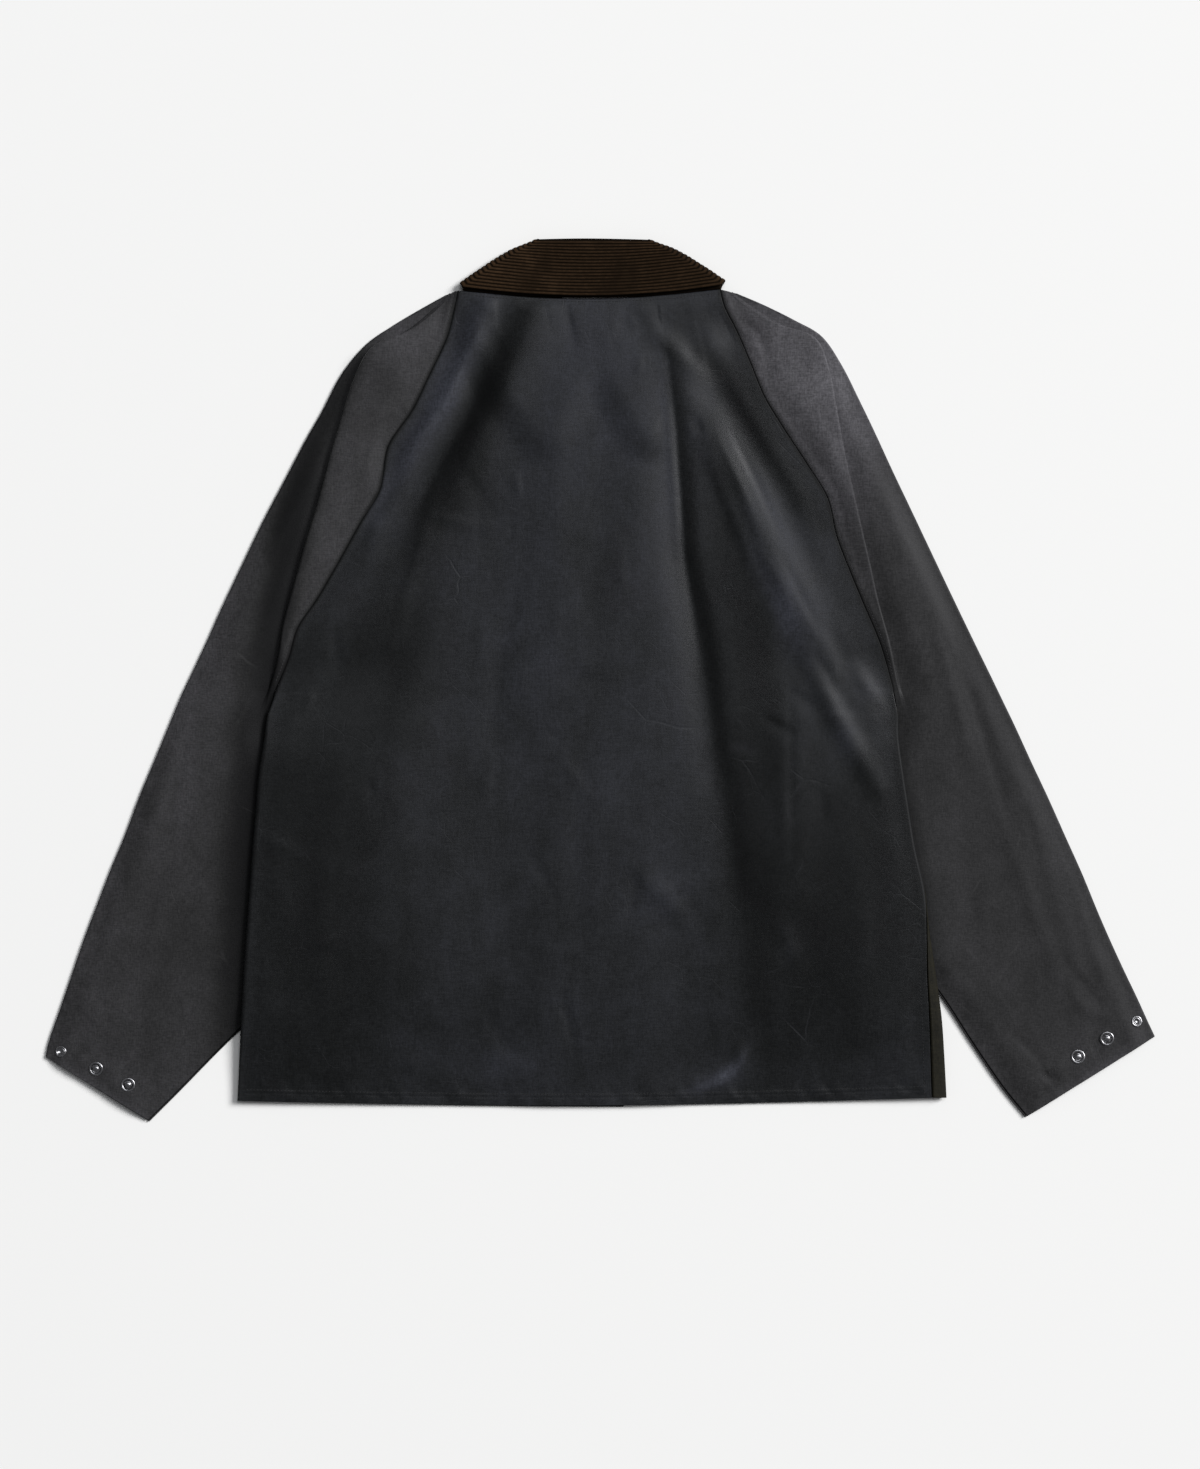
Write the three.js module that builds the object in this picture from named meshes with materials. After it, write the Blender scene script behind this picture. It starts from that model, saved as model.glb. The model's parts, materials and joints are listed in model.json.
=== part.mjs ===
// A waxed cotton jacket with raglan sleeves and a corduroy collar, lying flat on its front.
// +Z is up from the surface it lies on, +Y points to the collar, +X to the wearer's right.
// Every panel is a cloth wall: a grid of points on its middle surface, thickened both ways.
// All lengths are millimetres and all angles are degrees unless a name says otherwise.
import * as THREE from "three";

// Driving dimensions
const CLOTH = 1.2; // thickness of the waxed cloth
const CORDUROY = 1.8; // thickness of the collar
const SEAM_GAP = 0.3; // between the edges of two panels that are sewn together
const ROUND_SEAM_GAP = 0.9; // the same where the seam runs along a rounded edge
const LAYER = 2.0; // from the middle of one cloth layer to the next above it
const LOWEST = CLOTH / 2; // middle of a layer that lies on the surface
const BODY_OVER_SLEEVE = 4.3; // how far a sleeve under the body lifts it
const FRONT_OVER_COLLAR = 2.7; // how far the collar's turned-down front lifts the fronts
const LAP_RISE = 1.7; // how far one front lifts the other at the centre
const LAP_HALF = 20; // half the width in which the fronts lap
const LAP_MARGIN = 12; // flat border beside the lap in what lies on it
const FRONT_LAP_SLOPE = 25; // width of the slope outside it in the front
const BACK_LAP_SLOPE = 40; // and in the back
const FOLD_RADIUS = 1.0; // middle of the cloth round a sharp fold
const LEAST_ARC = 1.0; // shortest length of cloth in each bend of a fold
const BACK_LOFT = 0.9; // how far the back stands off the layers below it
const BACK_TAPER = 22; // width beside a seam in which the back's folds and loft begin
const CREASE_START = 12; // length beside a sleeve's back seam in which its folds begin
const CREASE_END = 14; // the same beside its outline
const ARM_FOLD_SHARE = 0.3; // where the columns of the shoulder fold go on down the arm
const ARM_FOLD_LENGTH = 3; // length of arm that they take up
const COLLAR_MARGIN = 3; // flat border round the collar's front parts in what lies on them
const COLLAR_SLOPE = 30; // width of the slope outside it
const SLEEVE_MARGIN = 14; // the same border and slope round the sleeves under the body
const SLEEVE_SLOPE = 60;
const ARMPIT_RUN = 28; // length below the armpit in which the body climbs on the sleeve
const RAGLAN_REACH = 45; // how far a raglan seam's height reaches into the back
const NECK_REACH = 60; // how far the neck seam's height reaches into the back
const NECK_SAG = 7.6; // dip of the back neck line
const NECK_GAP = 1.4; // from the collar's neck seam down to the fronts' edge
const HEM_SAG = 5.5; // dip of the hem at its middle
const WALE_PITCH = 3.1; // from one corduroy rib to the next
const WALE_HEIGHT = 0.35;
const COLLAR_MIDDLE = 4.65; // height of the middle of the folded collar
const COLLAR_SAG = 0.5; // how far the collar's back sinks between its corners
const STAND_OUT = 1.25; // the stand's distance from the collar's middle
const FALL_OUT = 3.75; // the fall's distance from the collar's middle

const CENTRING = [-0.23, 0.31]; // moves the origin to the middle of the whole outline

const NAVY = { color: 0x262b33, roughness: 0.42, metalness: 0 };
const CHARCOAL = { color: 0x3d3d40, roughness: 0.5, metalness: 0 };
const OLIVE = { color: 0x35332a, roughness: 0.5, metalness: 0 };
const BROWN = { color: 0x2b211d, roughness: 0.9, metalness: 0 };
const GUNMETAL = { color: 0x55575a, roughness: 0.35, metalness: 0.9 };

// Sleeve sections from the neck to the armpit. back and front are the two raglan seams, outer is
// the outline, fold is how far the shoulder fold lies from the back seam, turn is the angle
// through which it bends, tuck is the cloth hidden in it and lift raises the back seam.
const RAGLAN_COLUMNS = ["back", "outer", "front", "fold", "turn", "tuck", "lift"];
const table = (columns, rows) =>
  rows.map((row) => Object.fromEntries(columns.map((name, index) => [name, row[index]])));
const LEFT_RAGLAN = table(RAGLAN_COLUMNS, [
  [[-120.6, 330.6], [-131.5, 326.5], [-97.5, 310.3], 5.7, 0, 1, 0.6],
  [[-123.8, 315.5], [-153.0, 314.9], [-104.5, 279.2], 15.4, 15, 2, 0.8],
  [[-130.9, 289.4], [-175.9, 301.3], [-115.6, 253.7], 31, 45, 2, 1.0],
  [[-146.2, 257.1], [-198.9, 285.2], [-129.2, 229.9], 52.5, 130, 4, 1.2],
  [[-159.8, 229.1], [-219.3, 260.5], [-144.5, 206.1], 54.8, 180, 12, 1.2],
  [[-180.2, 198.5], [-236.3, 228.2], [-161.5, 180.6], 44.5, 180, 13, 1.3],
  [[-187.0, 161.9], [-249.9, 204.4], [-178.5, 155.1], 49.7, 180, 13, 1.4],
  [[-204.0, 133.0], [-268.6, 168.7], [-197.2, 127.9], 39.2, 180, 12, 1.6],
  [[-221.0, 102.4], [-287.3, 133.0], [-215.9, 99.9], 31.3, 180, 12, 1.9],
  [[-239.7, 70.1], [-306.0, 93.9], [-232.9, 72.7], 21.8, 180, 10, 2.4],
  [[-256.7, 44.6], [-321.3, 61.6], [-248.2, 47.2], 12.3, 180, 6, 3.2],
  [[-264.3, 19.1], [-334.1, 32.7], [-261.8, 19.1], 8.7, 120, 2, 3.0],
  [[-276.2, -11.5], [-348.5, 2.1], [-274.6, -11.5], 5.4, 30, 1, 1.3],
]);
const RIGHT_RAGLAN = table(RAGLAN_COLUMNS, [
  [[104.6, 331.6], [116.5, 328.0], [86.3, 311.3], 6.5, 0, 1, 0.6],
  [[106.5, 316.2], [140.2, 318.3], [91.0, 280.9], 19.6, 15, 2, 0.8],
  [[116.5, 295.4], [165.8, 305.6], [103.7, 255.4], 35, 45, 2, 1.0],
  [[127.5, 269.9], [188.7, 292.0], [117.3, 231.6], 58, 130, 4, 1.2],
  [[139.4, 241.0], [205.7, 267.3], [132.6, 207.8], 58.9, 180, 12, 1.2],
  [[156.4, 212.9], [220.2, 238.4], [149.6, 182.3], 47.4, 180, 12, 1.3],
  [[174.2, 185.7], [232.9, 212.1], [166.6, 155.1], 34.7, 180, 10, 1.5],
  [[192.9, 155.1], [249.0, 177.2], [185.3, 127.9], 22.6, 180, 8, 2.0],
  [[200.6, 122.8], [265.2, 143.2], [198.9, 100.7], 22.1, 180, 8, 2.2],
  [[210.8, 95.6], [280.5, 110.9], [210.8, 75.2], 18.3, 180, 7, 2.6],
  [[222.7, 66.7], [296.6, 76.9], [224.4, 49.7], 13.0, 180, 5, 3.0],
  [[238.0, 30.2], [316.2, 36.1], [236.5, 21.7], 7.9, 120, 2, 3.0],
  [[249.0, -8.1], [333.2, 1.3], [247.6, -8.1], 5.2, 30, 1, 1.3],
]);
// Sleeve sections from below the armpit to the cuff: under is the underarm edge, most of it hidden
// by the body, and outer is the outline.
const LEFT_ARM = [
  { under: [-281.4, -29.3], outer: [-356.1, -14.0] },
  { under: [-280.5, -50.6], outer: [-366.3, -38.7] },
  { under: [-261.8, -79.5], outer: [-378.2, -67.6] },
  { under: [-239.7, -111.8], outer: [-391.0, -98.2] },
  { under: [-216.8, -150.9], outer: [-403.8, -132.2] },
  { under: [-207.4, -186.6], outer: [-416.5, -162.8] },
  { under: [-224.4, -217.2], outer: [-427.6, -191.7] },
  { under: [-255.0, -246.1], outer: [-438.6, -220.6] },
  { under: [-287.3, -279.2], outer: [-448.8, -250.3] },
  { under: [-323.0, -314.1], outer: [-459.0, -280.1] },
  { under: [-355.3, -347.2], outer: [-468.0, -306.0] },
  { under: [-382.5, -374.4], outer: [-470.8, -319.2] },
];
const RIGHT_ARM = [
  { under: [252.4, -26.8], outer: [342.6, -18.3] },
  { under: [250.6, -48.9], outer: [352.8, -39.5] },
  { under: [232.9, -77.8], outer: [367.2, -71.0] },
  { under: [212.5, -111.8], outer: [380.8, -99.9] },
  { under: [202.3, -145.8], outer: [395.2, -132.2] },
  { under: [214.2, -179.8], outer: [409.7, -164.5] },
  { under: [239.7, -208.7], outer: [423.3, -197.6] },
  { under: [266.9, -239.3], outer: [435.2, -224.8] },
  { under: [289.8, -269.0], outer: [446.2, -248.6] },
  { under: [314.5, -307.3], outer: [456.4, -269.9] },
  { under: [340.0, -344.7], outer: [464.9, -288.6] },
  { under: [361.2, -371.0], outer: [471.3, -302.2] },
];
// The body's side edges below the armpits: edge is the outline and wrap is how far the side seam
// has moved on to the back, where the front panel comes round the edge.
const LEFT_SIDE = [
  { edge: [-280.2, -29.5], wrap: 0 },
  { edge: [-284.9, -50.6], wrap: 0 },
  { edge: [-289.6, -82], wrap: 0 },
  { edge: [-291.8, -110], wrap: 0 },
  { edge: [-294.6, -142], wrap: 0 },
  { edge: [-297.2, -178], wrap: 0 },
  { edge: [-299.9, -214], wrap: 0 },
  { edge: [-302.3, -250], wrap: 0 },
  { edge: [-304.2, -286], wrap: 0 },
  { edge: [-305.9, -322], wrap: 0 },
  { edge: [-307.7, -356.6], wrap: 0 },
];
const RIGHT_SIDE = [
  { edge: [250.5, -27], wrap: 0 },
  { edge: [253.6, -49], wrap: 0 },
  { edge: [258.2, -82], wrap: 0 },
  { edge: [262.8, -112], wrap: 0 },
  { edge: [267.8, -143], wrap: 0 },
  { edge: [275.6, -178], wrap: 0.5 },
  { edge: [279.6, -214], wrap: 3 },
  { edge: [285.0, -250], wrap: 8 },
  { edge: [289.8, -286], wrap: 11 },
  { edge: [292.2, -320], wrap: 12 },
  { edge: [294.1, -354], wrap: 13 },
];
// Collar sections: neck is the neck seam, roll is the folded top edge and fall is the free edge.
const COLLAR = {
  leftFront: { neck: [-5, 265], roll: [-12, 272], fall: [-47, 214] },
  leftSide: { neck: [-60, 284], roll: [-31, 318], fall: [-80, 258] },
  leftCorner: { neck: [-115.7, 330.5], roll: [-52.0, 369.4], fall: [-115.7, 330.5] },
  back: { neck: [0, 324.8], roll: [0, 372.0], fall: [-4, 326] },
  rightCorner: { neck: [101.9, 332.3], roll: [49.4, 368.0], fall: [101.9, 332.3] },
  rightSide: { neck: [52, 284], roll: [24, 318], fall: [72, 258] },
  rightFront: { neck: [2, 265], roll: [9, 272], fall: [42, 214] },
};
// Large folds of the back and the sleeves: points run along a fold, half is its half width and
// rise its height, which is negative for a trough.
const BACK_FOLDS = [
  { half: 16, rise: 2.6, points: [[-85, 323], [-123, 221], [-170, 153], [-212, 68]] },
  { half: 15, rise: -1.3, points: [[-81, 300], [-106, 204], [-136, 119], [-183, -17]] },
  { half: 12, rise: 1.5, points: [[-102, 187], [-136, 94], [-153, 30]] },
  { half: 15, rise: -1.2, points: [[51, 302], [81, 251], [128, 187], [166, 94], [183, 30]] },
  { half: 14, rise: 1.6, points: [[38, 319], [51, 264], [70, 200]] },
  { half: 17, rise: 3.0, points: [[77, 243], [102, 209], [128, 153], [149, 81], [200, -17], [234, -85]] },
  {
    half: 11, rise: -1.2,
    points: [[65, 234], [72, 158], [81, 73], [98, -34], [119, -148], [128, -225], [106, -331]],
  },
  { half: 14, rise: 2.0, points: [[102, -13], [128, -76], [140, -127]] },
  { half: 12, rise: 1.6, points: [[200, 60], [221, 26], [247, -21]] },
  { half: 14, rise: 1.4, points: [[46, -178], [68, -212]] },
];
const SLEEVE_FOLDS = [
  { half: 9, rise: 1.2, points: [[-189, 216], [-196, 178], [-196, 166]] },
  { half: 12, rise: 1.8, points: [[173, 228], [194, 198], [208, 163], [224, 125]] },
  { half: 22, rise: 2.0, points: [[227, 209], [248, 128], [270, 43], [302, -85]] },
  { half: 20, rise: 1.4, points: [[-330, 60], [-372, -60], [-400, -190]] },
  { half: 14, rise: 1.2, points: [[-400, -260], [-425, -300]] },
  { half: 9, rise: 1.0, points: [[352, -345], [378, -328]] },
];
// Press-stud parts on the cuffs, by the middle of each. The sockets are rings, the studs have posts.
const STUDS = [
  { name: "socket_left", at: [-457.3, -314.9], diameter: 9.6, post: false },
  { name: "stud_left_1", at: [-427.6, -329.4], diameter: 12.4, post: true },
  { name: "stud_left_2", at: [-400.4, -343.0], diameter: 12.4, post: true },
  { name: "stud_right_1", at: [405.5, -319.2], diameter: 12.4, post: true },
  { name: "stud_right_2", at: [430.1, -303.9], diameter: 12.4, post: true },
  { name: "socket_right", at: [455.6, -289.4], diameter: 9.6, post: false },
];

const radians = THREE.MathUtils.degToRad;
const lerp = THREE.MathUtils.lerp;
const smooth = (amount) => THREE.MathUtils.smoothstep(amount, 0, 1);
const between = (a, b, amount) => [lerp(a[0], b[0], amount), lerp(a[1], b[1], amount)];
const distance = (a, b) => Math.hypot(a[0] - b[0], a[1] - b[1]);
const unit = (from, to) => {
  const length = distance(from, to);
  return [(to[0] - from[0]) / length, (to[1] - from[1]) / length];
};
const towards = (from, to, length) => {
  const way = unit(from, to);
  return [from[0] + way[0] * length, from[1] + way[1] * length];
};
const steps = (count) => Array.from({ length: count }, (_, index) => index / (count - 1));

// Distance from a place to a segment, and where on the segment the nearest point lies, 0 to 1.
function toSegment(place, start, end) {
  const dx = end[0] - start[0];
  const dy = end[1] - start[1];
  const along = ((place[0] - start[0]) * dx + (place[1] - start[1]) * dy) / (dx * dx + dy * dy);
  const held = THREE.MathUtils.clamp(along, 0, 1);
  return { away: distance(place, between(start, end, held)), along: held };
}

// Distance outside a closed outline, and 0 anywhere inside it.
function outside(outline, place) {
  let inside = false;
  let nearest = Infinity;
  outline.forEach((start, index) => {
    const end = outline[(index + 1) % outline.length];
    nearest = Math.min(nearest, toSegment(place, start, end).away);
    const crosses = start[1] > place[1] !== end[1] > place[1];
    const slope = (end[0] - start[0]) / (end[1] - start[1]);
    if (crosses && place[0] < start[0] + (place[1] - start[1]) * slope) inside = !inside;
  });
  return inside ? 0 : nearest;
}

// 1 over an outline and up to margin around it, then falling smoothly to 0 within reach.
function cover(outline, place, margin, reach) {
  return 1 - smooth((outside(outline, place) - margin) / reach);
}

// Height that a table of folds adds at a place: each fold is a rounded ridge or trough along its
// line, fading out towards both ends.
function foldHeight(folds, place) {
  let height = 0;
  for (const fold of folds) {
    let best = { away: Infinity, at: 0 };
    const spans = fold.points.length - 1;
    for (let span = 0; span < spans; span += 1) {
      const near = toSegment(place, fold.points[span], fold.points[span + 1]);
      if (near.away < best.away) best = { away: near.away, at: (span + near.along) / spans };
    }
    const fade = 0.25 + 0.75 * Math.sin(Math.PI * THREE.MathUtils.clamp(best.at, 0.04, 0.96));
    height += fold.rise * fade * Math.exp(-((best.away / fold.half) ** 2));
  }
  return height;
}

const SLEEVES = {
  left: {
    raglan: LEFT_RAGLAN, arm: LEFT_ARM, side: LEFT_SIDE, inward: 1,
    collar: [COLLAR.leftFront, COLLAR.leftSide, COLLAR.leftCorner],
  },
  right: {
    raglan: RIGHT_RAGLAN, arm: RIGHT_ARM, side: RIGHT_SIDE, inward: -1,
    collar: [COLLAR.rightFront, COLLAR.rightSide, COLLAR.rightCorner],
  },
};
for (const sleeve of Object.values(SLEEVES)) {
  const edge = sleeve.arm.map((row) => row.under);
  const outline = sleeve.arm.map((row) => row.outer);
  sleeve.armpit = sleeve.raglan.at(-1).back;
  sleeve.outline = [sleeve.armpit, ...edge, ...outline.reverse()];
}
const COLLAR_UNDER = [SLEEVES.left.collar, SLEEVES.right.collar].map((rows) => [
  ...rows.map((row) => row.fall),
  ...rows.map((row) => row.roll).reverse(),
]);

// How far the collar's turned-down front, which lies on the surface, lifts what is above it.
function collarRise(place) {
  const over = COLLAR_UNDER.map((outline) => cover(outline, place, COLLAR_MARGIN, COLLAR_SLOPE));
  return FRONT_OVER_COLLAR * Math.max(...over);
}

// How far the two sleeves, which lie under the body's sides, lift the body.
function sleeveRise(place) {
  let most = 0;
  for (const sleeve of Object.values(SLEEVES)) {
    const started = smooth((sleeve.armpit[1] - place[1]) / ARMPIT_RUN);
    const over = cover(sleeve.outline, place, SLEEVE_MARGIN, SLEEVE_SLOPE);
    most = Math.max(most, started * over);
  }
  return BODY_OVER_SLEEVE * most;
}

const lapRise = (x, slope) => LAP_RISE * (1 - smooth((Math.abs(x) - LAP_HALF - LAP_MARGIN) / slope));
const frontHeight = (place) => LOWEST + collarRise(place) + sleeveRise(place);
const backHeight = (place) => frontHeight(place) + LAYER + lapRise(place[0], BACK_LAP_SLOPE);

// A point at a length of cloth along the rounded side edge of the body or a sleeve. The cloth comes
// outwards at the bottom, goes round by radius and goes back inwards on top.
function roundEdge(length, radius) {
  if (length < 0) return { out: length, up: 0 };
  const half = Math.PI * radius;
  if (length > half) return { out: half - length, up: 2 * radius };
  return { out: radius * Math.sin(length / radius), up: radius * (1 - Math.cos(length / radius)) };
}

// Points of a fold in one sleeve section, from where the upper cloth starts to bend, going
// outwards, to where the lower cloth goes on: a bend down, a straight run and a bend back.
function foldPath(turn, tuck, segments) {
  const angle = Math.max(radians(turn), 0.02);
  const radius = Math.max(FOLD_RADIUS, LEAST_ARC / angle);
  const path = [];
  for (let step = 1; step <= segments; step += 1) {
    const part = (angle * step) / segments;
    path.push({ out: radius * Math.sin(part), up: -radius * (1 - Math.cos(part)) });
  }
  const bent = path.at(-1);
  const run = { out: bent.out + tuck * Math.cos(angle), up: bent.up - tuck * Math.sin(angle) };
  path.push(run);
  for (let step = 1; step <= segments; step += 1) {
    const left = angle * (1 - step / segments);
    path.push({
      out: run.out + radius * (Math.sin(angle) - Math.sin(left)),
      up: run.up - radius * (Math.cos(left) - Math.cos(angle)),
    });
  }
  const steep = Math.min(angle, Math.PI / 2);
  return { path, lead: radius * Math.sin(steep) + (tuck / 2) * Math.cos(steep) };
}

const FOLD_SEGMENTS = 3;
const TOP_POINTS = 6;
const LOWER_POINTS = 4;
const EDGE_SEGMENTS = 3;
const BOTTOM_POINTS = 5;

// One section of a sleeve, from its back edge over the top, round the outline and back below.
function sleeveSection(row) {
  const isArm = row.under !== undefined;
  const edge = FOLD_RADIUS + CLOTH / 2;
  const start = isArm ? towards(row.under, row.outer, edge) : row.back;
  const end = isArm ? start : row.front;
  const topWay = unit(start, row.outer);
  const bottomWay = unit(end, row.outer);
  const outWay = unit([0, 0], [topWay[0] + bottomWay[0], topWay[1] + bottomWay[1]]);
  const centre = [0, 1].map((axis) => row.outer[axis] - outWay[axis] * edge);
  const width = distance(start, centre);
  const fold = isArm
    ? foldPath(0, ARM_FOLD_LENGTH, FOLD_SEGMENTS)
    : foldPath(row.turn, row.tuck, FOLD_SEGMENTS);
  const foldAt = (isArm ? ARM_FOLD_SHARE * width : row.fold) - fold.lead;
  const onTop = (along) => [start[0] + topWay[0] * along, start[1] + topWay[1] * along];
  const low = (place) => LOWEST + collarRise(place);
  const lowerLevel = (place) => low(place) + LAYER;
  const foldPlace = onTop(foldAt);
  const upperLevel = lowerLevel(foldPlace) - fold.path.at(-1).up;
  const startLevel = isArm ? lowerLevel(start) : lowerLevel(start) + row.lift;
  const crease = (place, along) => {
    const ends = Math.min(1, along / CREASE_START) * Math.min(1, Math.max(0, width - along) / CREASE_END);
    return foldHeight(SLEEVE_FOLDS, place) * ends;
  };
  const foldCrease = crease(foldPlace, foldAt);
  const points = [];
  for (const part of steps(TOP_POINTS)) {
    const along = lerp((isArm ? ROUND_SEAM_GAP : SEAM_GAP) / 2, foldAt, part);
    const place = onTop(along);
    const bump = lerp(crease(place, along), foldCrease, smooth(part));
    points.push([...place, lerp(startLevel, upperLevel, smooth(part)) + bump]);
  }
  for (const step of fold.path) {
    points.push([...onTop(foldAt + step.out), upperLevel + step.up + foldCrease]);
  }
  const resume = foldAt + fold.path.at(-1).out;
  for (const part of steps(LOWER_POINTS + 1).slice(1)) {
    const along = lerp(resume, width, part);
    const place = part === 1 ? centre : onTop(along);
    const bump = lerp(foldCrease, crease(place, along), smooth(part * 3));
    points.push([...place, lowerLevel(place) + bump]);
  }
  const edgeLow = low(centre);
  const edgeLength = Math.PI * FOLD_RADIUS;
  for (const part of steps(EDGE_SEGMENTS + 1).slice(1)) {
    const round = roundEdge(edgeLength * (1 - part), FOLD_RADIUS);
    const place = [0, 1].map((axis) => centre[axis] + outWay[axis] * round.out);
    points.push([...place, edgeLow + round.up]);
  }
  const inWay = unit(centre, end);
  const bottomLength = distance(centre, end) - (isArm ? 0 : edgeLength);
  for (const part of steps(BOTTOM_POINTS + 1).slice(1)) {
    const place = [0, 1].map((axis) => centre[axis] + inWay[axis] * bottomLength * part);
    points.push([...place, low(place)]);
  }
  const closing = edgeLength - ROUND_SEAM_GAP / 2;
  for (const part of steps(EDGE_SEGMENTS + 1).slice(1)) {
    const round = isArm ? roundEdge(closing * part, FOLD_RADIUS) : { out: closing * part, up: 0 };
    const reach = bottomLength + round.out;
    const place = [0, 1].map((axis) => centre[axis] + inWay[axis] * reach);
    points.push([...place, (isArm ? low(end) : low(place)) + round.up]);
  }
  return points;
}

function sleevePoints(sleeve) {
  return [...sleeve.raglan, ...sleeve.arm].map(sleeveSection);
}

// Radius of the body's side edge at a section: half the height from the front to the back.
function sideRadius(row) {
  const place = row.edge;
  return (backHeight(place) - frontHeight(place)) / 2;
}

// A place on the body's side, by its length of cloth round the edge from the bottom.
function onSide(row, inward, length) {
  const radius = sideRadius(row);
  const round = roundEdge(length, radius);
  const x = row.edge[0] + inward * (radius + CLOTH / 2 - round.out);
  return [x, row.edge[1], frontHeight(row.edge) + round.up];
}

const seamLength = (row) => (Math.PI / 2) * sideRadius(row) + row.wrap;
const EDGE_STEPS = [0, 0.33, 0.67, 1];
const RAGLAN_EDGE_WIDTH = 6;

// The back's points at one side of a row, from the seam inwards.
function backEdge(sleeve, index) {
  const count = sleeve.raglan.length;
  if (index < count) {
    const seam = sleeve.raglan[index];
    const start = [seam.back[0] + (sleeve.inward * SEAM_GAP) / 2, seam.back[1]];
    const height = LOWEST + collarRise(seam.back) + LAYER + seam.lift;
    return EDGE_STEPS.map((part) => [
      start[0] + sleeve.inward * RAGLAN_EDGE_WIDTH * part, start[1], height,
    ]);
  }
  const row = sleeve.side[index - count];
  const first = seamLength(row) + ROUND_SEAM_GAP / 2;
  const last = Math.max(Math.PI * sideRadius(row), first + 3);
  return EDGE_STEPS.map((part) => onSide(row, sleeve.inward, lerp(first, last, part)));
}

const BACK_COLUMNS = 20;
const ROWS = LEFT_RAGLAN.length + LEFT_SIDE.length;

// The back panel: rows from the neck to the hem, columns from the left seam to the right one.
function backPoints() {
  const rows = [];
  for (let index = 0; index < ROWS; index += 1) {
    const left = backEdge(SLEEVES.left, index);
    const right = backEdge(SLEEVES.right, index).reverse();
    const start = left.at(-1);
    const end = right[0];
    const down = index / (ROWS - 1);
    const sag = NECK_SAG * (1 - smooth(down * 4)) + HEM_SAG * smooth(down * 3 - 2);
    const width = right.at(-1)[0] - left[0][0];
    const dip = (x) => sag * Math.sin((Math.PI * (x - left[0][0])) / width);
    const seamLift = (seam, x) => {
      const near = 1 - smooth(Math.abs(x - seam[0]) / RAGLAN_REACH);
      return (seam[2] - backHeight(seam)) * near;
    };
    const middle = [];
    for (const part of steps(BACK_COLUMNS).slice(1, -1)) {
      const place = between(start, end, part);
      place[1] -= dip(place[0]);
      const near = Math.min(place[0] - start[0], end[0] - place[0]);
      const taper = smooth(near / BACK_TAPER) * smooth(index / 2) * smooth((ROWS - index) / 3);
      const seams = seamLift(start, place[0]) + seamLift(end, place[0]);
      const folded = (foldHeight(BACK_FOLDS, place) + BACK_LOFT) * taper;
      const height = backHeight(place) + seams + folded;
      middle.push([...place, height]);
    }
    for (const point of [...left, ...right]) point[1] -= dip(point[0]);
    rows.push([...left, ...middle, ...right]);
  }
  const neck = rows[0].map((point) => {
    const part = (point[0] - rows[0][0][0]) / (rows[0].at(-1)[0] - rows[0][0][0]);
    const corner = COLLAR_MIDDLE + STAND_OUT;
    return corner - COLLAR_SAG * Math.sin(Math.PI * part) ** 2 - point[2];
  });
  for (const row of rows) {
    row.forEach((point, column) => {
      const away = rows[0][column][1] - point[1];
      const inner = column > 3 && column < row.length - 4 ? 1 : 0;
      point[2] += inner * neck[column] * (1 - smooth(away / NECK_REACH));
    });
  }
  return rows;
}

const FRONT_COLUMNS = 10;
const FRONT_EDGE_STEPS = [0, 0.25, 0.5, 0.75, 1];

// Height on the plan of a front's neck edge, just below the collar's neck seam: it follows the
// seam's curve, and goes straight on where the front laps past the centre.
function neckHeight(sleeve, x) {
  const [front, side, corner] = sleeve.collar.map((row) => row.neck);
  if ((x - front[0]) * sleeve.inward >= 0) return front[1] - NECK_GAP;
  let low = 0;
  let high = 1;
  for (let round = 0; round < 30; round += 1) {
    const middle = (low + high) / 2;
    if ((through(front, side, corner, middle)[0] - x) * sleeve.inward > 0) low = middle;
    else high = middle;
  }
  return through(front, side, corner, low)[1] - NECK_GAP;
}

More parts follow.
